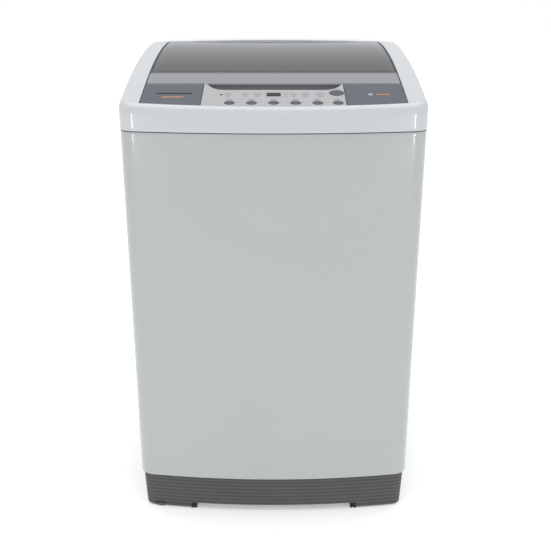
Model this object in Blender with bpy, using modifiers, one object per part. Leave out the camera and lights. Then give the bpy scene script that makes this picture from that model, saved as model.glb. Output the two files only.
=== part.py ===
"""A top load washing machine, built up from its separate pieces.

Metres, +Z up. The origin is the middle of the footprint, on the floor. The user stands at -Y.
"""

from math import asin, cos, exp, hypot, pi, radians, sin, sqrt

import bmesh
import bpy
from mathutils import Matrix, Vector

# ---------------------------------------------------------------- driving dimensions
WIDTH = 0.540
DEPTH = 0.530
HEIGHT = 0.8825
FRONT_Y = -DEPTH / 2
BACK_Y = DEPTH / 2
BOW = 0.018  # how far the middle of the front stands ahead of its corners
CORNER_R = 0.030
REAR_CORNER_R = 0.045
GAP = 0.0003  # kept between pieces that touch

SEAM_Z = 0.778  # where the top cover meets the cabinet
SKIRT_TOP_Z = 0.0795  # where the cabinet meets the base
SKIRT_Z = 0.0020
RECESS_Z = 0.0140  # the plinth's underside between the feet
RECESS_HALF = 0.1695
RIBS = 9
SHEET = 0.0012  # steel sheet of the cabinet and the rear cover
SHOULDER_IN = 0.010  # rounding round the top cover's outer edge: how far in, and how far down
SHOULDER_DROP = 0.014

PANEL_FRONT_Y = -0.252
PANEL_BACK_Y = -0.1435
PANEL_TOP_Z = 0.8224  # the top's skin at the front edge of the control panel
RISE, ARCH = 0.2762, 0.3187  # how steeply the top's skin sets out to the back, and how it bends over
DIP, DIP_LENGTH = 0.0045, 0.0371  # the slight hollow over the control panel
PANEL_HALF = 0.2305
PANEL_BOW = BOW * (PANEL_HALF / (WIDTH / 2 - CORNER_R)) ** 2
INSERT_X = 0.1252  # where the dark end inserts meet the middle of the panel
LID_FRONT_Y = -0.1425
GLASS_FRONT_Y = -0.0880
LID_BACK_Y = 0.2345
LID_HALF = 0.2300
HINGE_Y = 0.2275
HINGE_DROP = 0.0088
HINGE_ROD_R = 0.0020
LEDGE_Z = HEIGHT - 0.0027  # the top cover's low step behind the lid, which the hinge cover lies on
LEDGE_FALL = 0.0034  # how far that step falls from the middle to the lid's corners
LEDGE_RUN = 0.0040
DECK_Z = 0.809  # the ledge below the lid
MOUTH = (0.0, 0.030, 0.163, 0.155)  # centre x, centre y, half width, half length
COLLAR_Z = 0.7655

BUTTON_XS = (-0.076, -0.038, 0.0, 0.038, 0.076, 0.111)
BUTTON_Y = -0.235
BUTTON_R = 0.0083
START_X, START_Y, START_R = 0.111, -0.190, 0.0122
BUTTON_LENGTH = 0.008
DISPLAY_Y = -0.197

TUB_R = 0.230
TUB_WALL = 0.003
TUB_BOTTOM_Z = 0.235
TUB_RIM_Z = 0.728
LUG_Z = 0.330
DRUM_R = 0.205
DRUM_WALL = 0.0015
DRUM_BOTTOM_Z = 0.288
RING_Z = 0.672
RING_TOP_Z = 0.722
RING_INNER_R = 0.172
PULSATOR_R = 0.168
PULSATOR_Z = 0.322
ROD_X, ROD_Y, ROD_R = 0.222, 0.206, 0.0035
GUSSET_Z = 0.752
ROD_PLATE_Z = 0.268

MOTOR_Y = -0.150
PULLEY_R = 0.085
MOTOR_PULLEY_R = 0.030
BELT_Z = 0.121
BELT_H = 0.006
GROOVE_DEPTH = 0.0045
GROOVE_HALF = 0.0065
PLATE_Z = 0.2215  # underside of the plate that carries the drive

DRAWER_TOP_Z = 0.7850
DRAWER_LOW_Z = 0.7575
INLET = (-0.105, 0.800)  # x and z of the water inlet's axis, which runs along Y
OUTLET_XZ = (0.210, 0.130)
GLAND_XZ = (-0.207, 0.620)
ROD_LINE = (0.100, 0.205)  # y and z of the drain's pull rod
BRAKE_PIVOT = (0.030, 0.070)

LEVEL_FOOT = (-0.2295, -0.2225)
LEVEL_FOOT_R = 0.018
NUT_Z = 0.0380  # the boss that the levelling foot's nut tightens against
FOOT_PAD_X, FOOT_PAD_Y = 0.163, 0.217
FOOT_PAD_HALF_X, FOOT_PAD_HALF_Y = 0.006, 0.030

ROUND = 28  # facets of a large turned piece
SMALL = 12  # facets of a small one


def crown(y):
    """Height of the top's skin: it climbs from the control panel, arches over the lid and falls a little behind."""
    ahead = y - PANEL_FRONT_Y
    return PANEL_TOP_Z + RISE * ahead - ARCH * ahead**2 - DIP * (1 - exp(-ahead / DIP_LENGTH))


def crown_slope(y):
    ahead = y - PANEL_FRONT_Y
    return RISE - 2 * ARCH * ahead - DIP / DIP_LENGTH * exp(-ahead / DIP_LENGTH)


def ledge_fall(x):
    return LEDGE_FALL * (x / LID_HALF) ** 2


# ---------------------------------------------------------------- scene and materials
def start_scene():
    for obj in list(bpy.data.objects):
        bpy.data.objects.remove(obj)
    made = []
    for name in ("washing_machine", "cutters"):
        collection = bpy.data.collections.new(name)
        bpy.context.scene.collection.children.link(collection)
        made.append(collection)
    made[1].hide_render = True
    return made


PARTS, CUTTERS = start_scene()


def material(name, colour, roughness, metallic=0.0, alpha=1.0):
    made = bpy.data.materials.new(name)
    made.use_nodes = True
    shader = made.node_tree.nodes["Principled BSDF"]
    shader.inputs["Base Color"].default_value = (*colour, 1.0)
    shader.inputs["Roughness"].default_value = roughness
    shader.inputs["Metallic"].default_value = metallic
    shader.inputs["Alpha"].default_value = alpha
    return made


ENAMEL = material("enamel", (0.74, 0.77, 0.78), 0.30)
WHITE = material("white_plastic", (0.84, 0.85, 0.87), 0.32)
INSERT_GREY = material("insert_grey", (0.19, 0.20, 0.22), 0.35)
PANEL_GREY = material("panel_grey", (0.58, 0.58, 0.59), 0.40)
LID_SILVER = material("lid_silver", (0.42, 0.43, 0.44), 0.38)
SMOKED = material("smoked_acrylic", (0.20, 0.21, 0.20), 0.10, alpha=0.55)
BUTTON_GREY = material("button_grey", (0.17, 0.17, 0.18), 0.40)
BASE_GREY = material("base_grey", (0.09, 0.09, 0.09), 0.55)
RUBBER = material("rubber", (0.02, 0.02, 0.02), 0.80)
DISPLAY = material("display_black", (0.02, 0.03, 0.03), 0.10)
STEEL = material("stainless", (0.62, 0.62, 0.63), 0.28, 1.0)
ZINC = material("zinc_steel", (0.50, 0.51, 0.52), 0.42, 1.0)
CAST = material("cast_aluminium", (0.45, 0.46, 0.47), 0.50, 1.0)
TUB_GREY = material("tub_plastic", (0.62, 0.64, 0.64), 0.50)
BLUE_GREY = material("pulsator_plastic", (0.72, 0.76, 0.80), 0.40)
HOSE_BLACK = material("hose_rubber", (0.04, 0.04, 0.045), 0.70)
MOTOR_BLACK = material("motor_black", (0.05, 0.05, 0.055), 0.45)


# ---------------------------------------------------------------- modelling tools
def place(obj, finish, collection=PARTS):
    for old in obj.users_collection:
        old.objects.unlink(obj)
    collection.objects.link(obj)
    if finish:
        obj.data.materials.clear()
        obj.data.materials.append(finish)
    if collection is CUTTERS:
        obj.hide_render = True
        obj.display_type = "WIRE"
    return obj


def mesh_object(name, bm, finish, collection=PARTS, location=(0, 0, 0), rotation=(0, 0, 0)):
    bmesh.ops.recalc_face_normals(bm, faces=bm.faces)
    mesh = bpy.data.meshes.new(name)
    bm.to_mesh(mesh)
    bm.free()
    mesh.shade_smooth()
    mesh.set_sharp_from_angle(angle=radians(35))
    obj = bpy.data.objects.new(name, mesh)
    obj.location = location
    obj.rotation_euler = rotation
    return place(obj, finish, collection)


def box(name, low, high, finish=None, collection=PARTS, bevel=0.0, centre_turn=(0, 0, 0)):
    """A box between two corners. It turns about its own middle."""
    size = [b - a for a, b in zip(low, high)]
    middle = [(a + b) / 2 for a, b in zip(low, high)]
    bm = bmesh.new()
    bmesh.ops.create_cube(bm, size=1.0, matrix=Matrix.Diagonal((*size, 1.0)))
    obj = mesh_object(name, bm, finish, collection, middle, centre_turn)
    if bevel:
        add_bevel(obj, bevel)
    return obj


def cylinder(name, radius, low, height, finish=None, collection=PARTS, facets=SMALL,
             turn=(0, 0, 0)):
    """A cylinder standing on the point low, then turned about that point."""
    bm = bmesh.new()
    bmesh.ops.create_cone(bm, cap_ends=True, segments=facets, radius1=radius, radius2=radius, depth=height,
                          matrix=Matrix.Translation((0, 0, height / 2)))
    return mesh_object(name, bm, finish, collection, low, turn)


def turned(name, profile, finish=None, collection=PARTS, facets=ROUND, location=(0, 0, 0), closed=True,
           turn=(0, 0, 0)):
    """A turned piece. The profile is (radius, z) pairs, outer side first, from the top down."""
    mesh = bpy.data.meshes.new(name)
    points = [(radius, 0.0, z) for radius, z in profile]
    edges = [(i, i + 1) for i in range(len(points) - 1)]
    if closed:
        edges.append((len(points) - 1, 0))
    mesh.from_pydata(points, edges, [])
    obj = bpy.data.objects.new(name, mesh)
    obj.location = location
    obj.rotation_euler = turn
    screw = obj.modifiers.new("turn", "SCREW")
    screw.steps = screw.render_steps = facets
    screw.use_merge_vertices = True
    screw.merge_threshold = 0.00001
    screw.use_smooth_shade = True
    return place(obj, finish, collection)


def plate(name, outlines, low_z, high_z, finish=None, collection=PARTS):
    """A flat piece between two heights. The first outline is its edge, and the rest are holes."""
    curve = bpy.data.curves.new(name, "CURVE")
    curve.dimensions = "2D"
    curve.fill_mode = "BOTH"
    curve.extrude = (high_z - low_z) / 2
    for outline in outlines:
        spline = curve.splines.new("POLY")
        spline.points.add(len(outline) - 1)
        for point, (x, y) in zip(spline.points, outline):
            point.co = (x, y, 0, 1)
        spline.use_cyclic_u = True
    obj = bpy.data.objects.new(name, curve)
    obj.location = (0, 0, (low_z + high_z) / 2)
    return as_mesh(place(obj, finish, collection))


def wire(name, points, radius, finish, bevel_resolution=2, location=(0, 0, 0)):
    curve = bpy.data.curves.new(name, "CURVE")
    curve.dimensions = "3D"
    curve.bevel_depth = radius
    curve.bevel_resolution = bevel_resolution
    curve.use_fill_caps = True
    spline = curve.splines.new("POLY")
    spline.points.add(len(points) - 1)
    for point, co in zip(spline.points, points):
        point.co = (*co, 1)
    obj = bpy.data.objects.new(name, curve)
    obj.location = location
    return place(obj, finish)


def as_mesh(obj):
    """The object with its curve or its modifiers made into one welded mesh, so that it can be cut and joined."""
    bpy.context.view_layer.update()
    evaluated = obj.evaluated_get(bpy.context.evaluated_depsgraph_get())
    mesh = bpy.data.meshes.new_from_object(evaluated)
    bm = bmesh.new()
    bm.from_mesh(mesh)
    bmesh.ops.remove_doubles(bm, verts=bm.verts, dist=0.00001)
    bmesh.ops.recalc_face_normals(bm, faces=bm.faces)
    bm.to_mesh(mesh)
    bm.free()
    name, matrix, collection = obj.name, obj.matrix_world.copy(), obj.users_collection[0]
    finish = obj.active_material
    bpy.data.objects.remove(obj)
    made = bpy.data.objects.new(name, mesh)
    made.matrix_world = matrix
    mesh.set_sharp_from_angle(angle=radians(35))
    return place(made, finish, collection)


def add_bevel(obj, width, segments=1, angle=radians(50)):
    bevel = obj.modifiers.new("edges", "BEVEL")
    bevel.width = width
    bevel.segments = segments
    bevel.limit_method = "ANGLE"
    bevel.angle_limit = angle
    return bevel


def boolean(obj, others, operation="DIFFERENCE"):
    """Cuts or joins others to obj. They move to the cutters."""
    for other in others:
        if other.users_collection[0] is not CUTTERS:
            place(other, None, CUTTERS)
        modifier = obj.modifiers.new(operation.lower(), "BOOLEAN")
        modifier.operation = operation
        modifier.solver = "EXACT"
        modifier.object = other
    return obj


def skin(name, rings, finish, thickness=0.0, collection=PARTS, cap=False):
    """A surface through closed rings that all have the same number of points, thickened inwards."""
    bm = bmesh.new()
    rows = [[bm.verts.new(point) for point in ring] for ring in rings]
    for below, above in zip(rows, rows[1:]):
        for i in range(len(below)):
            j = (i + 1) % len(below)
            bm.faces.new((below[i], below[j], above[j], above[i]))
    if cap:
        bm.faces.new(rows[0][::-1])
        bm.faces.new(rows[-1])
    obj = mesh_object(name, bm, finish, collection)
    if thickness:
        solidify = obj.modifiers.new("wall", "SOLIDIFY")
        solidify.thickness = thickness
        solidify.offset = -1
        solidify.use_even_offset = True
    return obj


def sheet(name, xs, ys, height, thickness, finish, collection=PARTS, edge=None):
    """A slab under a grid of heights. height(x, y) lifts it, and edge(x, y) may move y."""
    bm = bmesh.new()
    grid = []
    for x in xs:
        row = []
        for y in ys:
            at = edge(x, y) if edge else y
            row.append(bm.verts.new((x, at, height(x, at))))
        grid.append(row)
    for a, b in zip(grid, grid[1:]):
        for j in range(len(ys) - 1):
            bm.faces.new((a[j], b[j], b[j + 1], a[j + 1]))
    below = bmesh.ops.extrude_face_region(bm, geom=bm.faces[:], use_keep_orig=True)
    verts = [item for item in below["geom"] if isinstance(item, bmesh.types.BMVert)]
    bmesh.ops.translate(bm, vec=(0, 0, -thickness), verts=verts)
    return mesh_object(name, bm, finish, collection)


# ---------------------------------------------------------------- outlines
def spread(low, high, count):
    return [low + (high - low) * i / (count - 1) for i in range(count)]


def arc(cx, cy, radius, start, stop, count):
    """Points on a circle. An angle of 0 points at -Y, and a quarter turn at +X."""
    return [(cx + radius * sin(a), cy - radius * cos(a)) for a in spread(start, stop, count)]


def body_outline(inset=0.0, front=6, corner=5, side=6):
    """The machine's plan: a bowed front, round corners and a straight back, moved inwards by inset."""
    half = WIDTH / 2 - inset
    radius = CORNER_R - inset
    rear_radius = REAR_CORNER_R - inset
    across = WIDTH / 2 - CORNER_R
    bow_r = (across**2 + BOW**2) / (2 * BOW) - inset
    bow_y = FRONT_Y + inset + bow_r
    corner_x = half - radius
    corner_y = bow_y - sqrt((bow_r - radius) ** 2 - corner_x**2)
    lean = asin(corner_x / (bow_r - radius))
    rear_y = BACK_Y - inset - rear_radius
    right = arc(0, bow_y, bow_r, 0, lean, front)
    right += arc(corner_x, corner_y, radius, lean, pi / 2, corner)[1:]
    right += [(half, y) for y in spread(corner_y, rear_y, side)[1:]]
    right += arc(half - rear_radius, rear_y, rear_radius, pi / 2, pi, corner)[1:]
    right += [(x, BACK_Y - inset) for x in spread(half - rear_radius, 0, 3)[1:]]
    return right + [(-x, y) for x, y in right[-2:0:-1]]


def opening_outline(half, front_y, back_y, radius, bow=0.0, front=6, corner=5, side=6):
    """A rounded rectangle with as many points, in the same order, as body_outline."""
    right = [(x, front_y + bow * (x / half) ** 2) for x in spread(0, half - radius, front)]
    start_y = right[-1][1] + radius
    right += arc(half - radius, start_y, radius, 0, pi / 2, corner)[1:]
    right += [(half, y) for y in spread(start_y, back_y - radius, side)[1:]]
    right += arc(half - radius, back_y - radius, radius, pi / 2, pi, corner)[1:]
    right += [(x, back_y) for x in spread(half - radius, 0, 3)[1:]]
    return right + [(-x, y) for x, y in right[-2:0:-1]]


def mouth_outline(grow=0.0, squareness=2.6):
    """The rounded mouth over the basket, with its points at the same angles as the deck's outline."""
    cx, cy, half_x, half_y = MOUTH
    points = []
    for x, y in opening_outline(0.205, -0.135, 0.212, 0.03):
        dx, dy = (x - cx) / (half_x + grow), (y - cy) / (half_y + grow)
        reach = (abs(dx) ** squareness + abs(dy) ** squareness) ** (1 / squareness)
        points.append((cx + (x - cx) / reach, cy + (y - cy) / reach))
    return points


def at_height(outline, z):
    return [(x, y, z) for x, y in outline]


def on_crown(outline, drop=0.0):
    """Lifts an outline to the top cover's skin, with its low step behind the lid."""
    points = []
    for x, y in outline:
        climb = min(max((y - LID_BACK_Y) / LEDGE_RUN, 0), 1)
        step = max(LEDGE_Z - ledge_fall(x) - crown(y), 0)
        points.append((x, y, crown(y) + climb * step - drop))
    return points


# ---------------------------------------------------------------- casing
def make_cabinet():
    """The painted steel wrap, with its welded corner gussets and a service opening at the back."""
    hem = ((0.006, 0.0), (0.0015, 0.0012), (0.0008, 0.005), (0.0008, SEAM_Z - 0.0012 - SKIRT_TOP_Z))
    rings = [at_height(body_outline(inset, side=2), SKIRT_TOP_Z + rise) for inset, rise in hem]
    cabinet = as_mesh(skin("cabinet", rings, ENAMEL, SHEET))
    gussets = []
    for side_x in (-1, 1):
        for side_y in (-1, 1):
            wide = 0.046
            gusset = box("gusset", (side_x * ROD_X - wide, side_y * ROD_Y - wide, GUSSET_Z),
                         (side_x * ROD_X + wide, side_y * ROD_Y + wide, GUSSET_Z + 0.003), collection=CUTTERS)
            trim = plate("gusset_trim", [body_outline(0.0014)], GUSSET_Z - 0.01, GUSSET_Z + 0.01,
                         collection=CUTTERS)
            hole = cylinder("gusset_hole", 0.0052, (side_x * ROD_X, side_y * ROD_Y, GUSSET_Z - 0.01), 0.02,
                            collection=CUTTERS, facets=12)
            boolean(gusset, [trim], "INTERSECT")
            boolean(gusset, [hole])
            gussets.append(gusset)
    boolean(cabinet, gussets, "UNION")
    opening = box("service_opening", (-0.175, BACK_Y - 0.02, 0.130), (0.175, BACK_Y + 0.02, 0.560),
                  collection=CUTTERS)
    through_back = (-pi / 2, 0, 0)
    outlet_hole = cylinder("outlet_hole", 0.0108, (OUTLET_XZ[0], BACK_Y - 0.02, OUTLET_XZ[1]), 0.04,
                           collection=CUTTERS, turn=through_back)
    gland_hole = cylinder("gland_hole", 0.0088, (GLAND_XZ[0], BACK_Y - 0.02, GLAND_XZ[1]), 0.04,
                          collection=CUTTERS, turn=through_back)
    boolean(cabinet, [opening, outlet_hole, gland_hole])


def make_rear_cover():
    """The plate screwed over the service opening, with a raised field that stiffens it."""
    y = BACK_Y
    cover = box("rear_cover", (-0.190, y - 0.0005, 0.115), (0.190, y + 0.0005, 0.575), ENAMEL)
    field = box("rear_field", (-0.160, y - 0.0003, 0.150), (0.160, y + 0.0022, 0.540), collection=CUTTERS, bevel=0.0012)
    boolean(cover, [field], "UNION")


def make_top_cover():
    """The white moulding round the lid and the control panel, with a wall down to the deck."""
    rings = [at_height(body_outline(), SEAM_Z)]
    for angle in spread(0, pi / 2, 5):
        ring = body_outline(SHOULDER_IN * (1 - cos(angle)))
        rings.append(on_crown(ring, SHOULDER_DROP * (1 - sin(angle))))
    hole = opening_outline(PANEL_HALF + 0.001, PANEL_FRONT_Y - 0.0012, LID_BACK_Y + 0.0045, 0.002, PANEL_BOW)
    rings.append(on_crown(hole))
    rings.append(at_height(hole, DECK_Z + GAP))
    top = as_mesh(skin("top_cover", rings, WHITE, 0.0028))
    z = crown(HINGE_Y) - HINGE_DROP
    bores = [cylinder("pin_bore", HINGE_ROD_R + 0.0005, (side * 0.222, HINGE_Y, z), 0.02, collection=CUTTERS,
                      facets=12, turn=(0, side * pi / 2, 0)) for side in (-1, 1)]
    inlet_hole = cylinder("inlet_hole", 0.0145, (INLET[0], BACK_Y - 0.012, INLET[1]), 0.03, collection=CUTTERS,
                          facets=18, turn=(-pi / 2, 0, 0))
    boolean(top, [*bores, inlet_hole])


def make_hinge_cover():
    """The bar behind the lid that covers its hinges."""
    drop = {0.2400: 0.0006, 0.2412: 0.0, 0.2540: 0.0, 0.2550: 0.0006}
    sheet("hinge_cover", spread(-0.232, 0.232, 9), tuple(drop), lambda x, y: HEIGHT - ledge_fall(x) - drop[y],
          0.0018, WHITE)


def make_mouth_deck():
    """The ledge under the lid, which falls to the mouth and its collar. The drawer comes through the collar."""
    rings = [at_height(opening_outline(0.2360, -0.149, 0.2405, 0.012), DECK_Z),
             at_height(opening_outline(0.205, -0.135, 0.212, 0.03), DECK_Z),
             at_height(mouth_outline(0.004), 0.794),
             at_height(mouth_outline(), 0.790),
             at_height(mouth_outline(-0.001), COLLAR_Z)]
    deck = as_mesh(skin("mouth_deck", rings, WHITE, 0.0025))
    slot = box("drawer_slot", (-0.0585, 0.14, 0.7), (0.0585, 0.20, DRAWER_TOP_Z + 0.0006), collection=CUTTERS)
    boolean(deck, [slot])


# ---------------------------------------------------------------- control panel
def panel_edge(x, y):
    """Pulls the grid's front edge into the panel's bow, and leaves its back edge straight."""
    share = (PANEL_BACK_Y - y) / (PANEL_BACK_Y - PANEL_FRONT_Y)
    return y + share * PANEL_BOW * (x / PANEL_HALF) ** 2


def lean(y):
    """The turn about X that stands a piece square on the sloping top."""
    slope = crown_slope(y)
    return asin(slope / hypot(1, slope))


def on_panel(x, y, depth):
    """The point this far under the panel's skin, along its normal."""
    slope = crown_slope(y)
    size = hypot(1, slope)
    return (x, y + depth * slope / size, crown(y) - depth / size)


def make_panel_housing():
    """The grey moulding that carries the buttons. Its back edge has the scoop for fingers under the lid."""
    right = [INSERT_X, INSERT_X + 0.0003, 0.18, PANEL_HALF]
    xs = [-x for x in right[::-1]] + [-0.06, 0, 0.06] + right
    ys = spread(PANEL_FRONT_Y, PANEL_BACK_Y, 7)

    def height(x, y):
        return crown(y) - (0.0018 if abs(x) > INSERT_X + 0.0001 else 0.0002)

    housing = as_mesh(sheet("panel_housing", xs, ys, height, 0.006, PANEL_GREY, edge=panel_edge))
    beam = box("panel_beam", (-PANEL_HALF, -0.182, DECK_Z + GAP), (PANEL_HALF, PANEL_BACK_Y, crown(-0.182) - 0.003),
               collection=CUTTERS)
    boolean(housing, [beam], "UNION")
    scoop = box("finger_scoop", (-0.119, -0.176, 0.8165), (0.122, -0.10, 0.9), collection=CUTTERS, bevel=0.011)
    scoop.modifiers["edges"].segments = 2
    holes = [scoop]
    for i, x in enumerate(BUTTON_XS):
        holes.append(cylinder(f"button_hole_{i + 1}", BUTTON_R + 0.0006, on_panel(x, BUTTON_Y, 0.012), 0.02,
                              collection=CUTTERS, turn=(lean(BUTTON_Y), 0, 0)))
    holes.append(cylinder("start_hole", START_R + 0.0006, on_panel(START_X, START_Y, 0.03), 0.05,
                          collection=CUTTERS, turn=(lean(START_Y), 0, 0)))
    holes.append(panel_box("display_pocket", DISPLAY_Y, 0.0133, 0.0093, 0.0018, -0.010, None, CUTTERS))
    boolean(housing, holes)


def make_inserts():
    """The dark grey ends of the panel."""
    for name, low, high in (("panel_insert_left", -PANEL_HALF, -INSERT_X - 0.0006),
                            ("panel_insert_right", INSERT_X + 0.0006, PANEL_HALF)):
        sheet(name, spread(low, high, 4), spread(PANEL_FRONT_Y, PANEL_BACK_Y, 7), lambda x, y: crown(y), 0.0013,
              INSERT_GREY, edge=panel_edge)


def panel_box(name, y, half_x, half_y, deep, shallow, finish, collection=PARTS):
    """A box on the panel's middle line, between two depths under its skin."""
    middle = on_panel(0, y, (deep + shallow) / 2)
    half_z = (deep - shallow) / 2
    low = (-half_x, middle[1] - half_y, middle[2] - half_z)
    high = (half_x, middle[1] + half_y, middle[2] + half_z)
    return box(name, low, high, finish, collection, centre_turn=(lean(y), 0, 0))


def make_button(name, x, y, radius):
    """A round push button with a slightly domed face, standing square on the panel."""
    top = BUTTON_LENGTH + 0.001
    profile = [(0, top), (radius * 0.6, top - 0.0002), (radius - 0.0006, top - 0.0006), (radius, top - 0.0013),
               (radius, 0), (0, 0)]
    turned(name, profile, BUTTON_GREY, facets=SMALL, location=on_panel(x, y, BUTTON_LENGTH), closed=False,
           turn=(lean(y), 0, 0))


def make_control_panel():
    make_panel_housing()
    make_inserts()
    panel_box("display_window", DISPLAY_Y, 0.0128, 0.0088, 0.0015, 0.0001, DISPLAY)
    for i, x in enumerate(BUTTON_XS):
        make_button(f"button_{i + 1}", x, BUTTON_Y, BUTTON_R)
    make_button("start_button", START_X, START_Y, START_R)


# ---------------------------------------------------------------- lid
def make_lid():
    """A silver frame whose front strip is the handle, with a smoked window let into it."""
    xs = spread(-LID_HALF, LID_HALF, 5)
    ys = [LID_FRONT_Y, -0.12, -0.09, GLASS_FRONT_Y, -0.02, 0.04, 0.10, 0.16, LID_BACK_Y]
    frame = as_mesh(sheet("lid_frame", xs, ys, lambda x, y: crown(y) - 0.0002, 0.0058, LID_SILVER))
    glass_ys = [GLASS_FRONT_Y, -0.02, 0.04, 0.10, 0.16, LID_BACK_Y + 0.01]
    rebate = as_mesh(sheet("glass_rebate", (-0.3, 0.3), glass_ys, lambda x, y: crown(y) + 0.02, 0.0238,
                           None, CUTTERS))
    window = plate("window", [opening_outline(0.2145, GLASS_FRONT_Y + 0.012, 0.2165, 0.012)], 0.7, 1.0,
                   collection=CUTTERS)
    boolean(frame, [rebate, window])
    z = crown(HINGE_Y) - HINGE_DROP
    for side in (-1, 1):
        ear = turned("lid_ear", [(0.0050, 0.006), (0.0050, -0.006), (0.0024, -0.006), (0.0024, 0.006)],
                     collection=CUTTERS, facets=12, location=(side * 0.2235, HINGE_Y, z), turn=(0, pi / 2, 0))
        boolean(frame, [as_mesh(ear)], "UNION")
    cylinder("lid_hinge_rod", HINGE_ROD_R, (-0.2335, HINGE_Y, z), 0.467, STEEL, facets=12, turn=(0, pi / 2, 0))
    glass_ys[0] += GAP
    glass_ys[-1] = LID_BACK_Y
    sheet("lid_glass", xs, glass_ys, lambda x, y: crown(y) - 0.0002, 0.0032, SMOKED)


# ---------------------------------------------------------------- base and feet
def make_base():
    """The dark plinth: a ribbed skirt, a flange under the works, and a recess between the feet."""
    def plan(inset):
        return body_outline(inset, front=4, corner=4, side=2)

    rings = [at_height(plan(0.0105), SKIRT_Z)]
    pitch = (SKIRT_TOP_Z - 0.0015 - SKIRT_Z) / RIBS
    for i in range(RIBS):
        draft = 0.0085 - 0.0035 * i / RIBS
        rings.append(at_height(plan(draft), SKIRT_Z + (i + 0.30) * pitch))
        rings.append(at_height(plan(draft + 0.0016), SKIRT_Z + (i + 0.85) * pitch))
    rings.append(at_height(plan(0.0085), SKIRT_TOP_Z - 0.0005))
    rings.append(at_height(plan(0.0095), SKIRT_TOP_Z + 0.014))
    base = as_mesh(skin("base_frame", rings, BASE_GREY, 0.003))
    flange = plate("base_flange", [plan(0.010), opening_outline(0.190, -0.180, 0.190, 0.06, front=4, side=2)],
                   RECESS_Z, RECESS_Z + 0.004, collection=CUTTERS)
    boss_low = RECESS_Z + 0.001
    boss = cylinder("foot_boss", 0.013, (*LEVEL_FOOT, boss_low), NUT_Z - boss_low, collection=CUTTERS)
    boolean(base, [flange, boss], "UNION")
    under = RECESS_Z - 0.00001
    cuts = [box("front_recess", (-RECESS_HALF, FRONT_Y - 0.1, -0.01), (RECESS_HALF, -0.20, under), collection=CUTTERS),
            box("rear_recess", (-RECESS_HALF, 0.20, -0.01), (RECESS_HALF, BACK_Y + 0.1, under), collection=CUTTERS),
            cylinder("foot_notch", LEVEL_FOOT_R + 0.0015, (*LEVEL_FOOT, -0.01), 0.022, collection=CUTTERS, facets=18),
            cylinder("foot_thread", 0.0058, (*LEVEL_FOOT, 0.0), 0.06, collection=CUTTERS)]
    boolean(base, cuts)


def make_feet():
    for name_x, side_x in (("left", -1), ("right", 1)):
        for name_y, side_y in (("front", -1), ("rear", 1)):
            x, y = side_x * FOOT_PAD_X, side_y * FOOT_PAD_Y
            low = (x - FOOT_PAD_HALF_X, y - FOOT_PAD_HALF_Y, 0)
            high = (x + FOOT_PAD_HALF_X, y + FOOT_PAD_HALF_Y, RECESS_Z - GAP)
            pad = box(f"foot_pad_{name_y}_{name_x}", low, high, RUBBER)
            add_bevel(pad, 0.0008)
    r = LEVEL_FOOT_R
    turned("level_foot", [(0, 0.052), (0.0045, 0.052), (0.005, 0.051), (0.005, 0.0130), (0.009, 0.0115),
                          (r - 0.0015, 0.0075), (r, 0.0040), (r - 0.0010, 0), (0, 0)], BASE_GREY,
           location=(*LEVEL_FOOT, 0), closed=False, facets=18)
    low = NUT_Z + GAP
    turned("level_foot_nut", [(0.0095, low + 0.0052), (0.0095, low), (0.0062, low), (0.0062, low + 0.0052)],
           ZINC, location=(*LEVEL_FOOT, 0), facets=6)


# ---------------------------------------------------------------- suspension
def coil(radius, low, high, turns, per_turn=8):
    """A compression spring whose first and last half turns lie flat."""
    points = []
    total = int(turns * per_turn)
    for i in range(total + 1):
        share = min(max((i / per_turn - 0.5) / (turns - 1), 0), 1)
        angle = 2 * pi * i / per_turn
        points.append((radius * cos(angle), radius * sin(angle), low + (high - low) * share))
    return points


def make_suspension():
    """Four rods that hang from ball seats, with the springs that the tub's lugs stand on."""
    for name_x, side_x in (("left", -1), ("right", 1)):
        for name_y, side_y in (("front", -1), ("rear", 1)):
            x, y = side_x * ROD_X, side_y * ROD_Y
            seat = GUSSET_Z + 0.003 + GAP
            turned(f"suspension_rod_{name_y}_{name_x}",
                   [(0, seat + 0.009), (0.0045, seat + 0.0078), (0.0080, seat + 0.003), (0.0080, seat),
                    (ROD_R, seat), (ROD_R, ROD_PLATE_Z + 0.005), (0.0175, ROD_PLATE_Z + 0.005),
                    (0.0175, ROD_PLATE_Z), (0, ROD_PLATE_Z)],
                   ZINC, facets=12, location=(x, y, 0), closed=False)
            wire_r = 0.0016
            low = ROD_PLATE_Z + 0.005 + wire_r + GAP
            high = LUG_Z - wire_r - GAP
            wire(f"suspension_spring_{name_y}_{name_x}", coil(0.0125, low, high, 5), wire_r, STEEL,
                 bevel_resolution=0, location=(x, y, 0))


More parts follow.
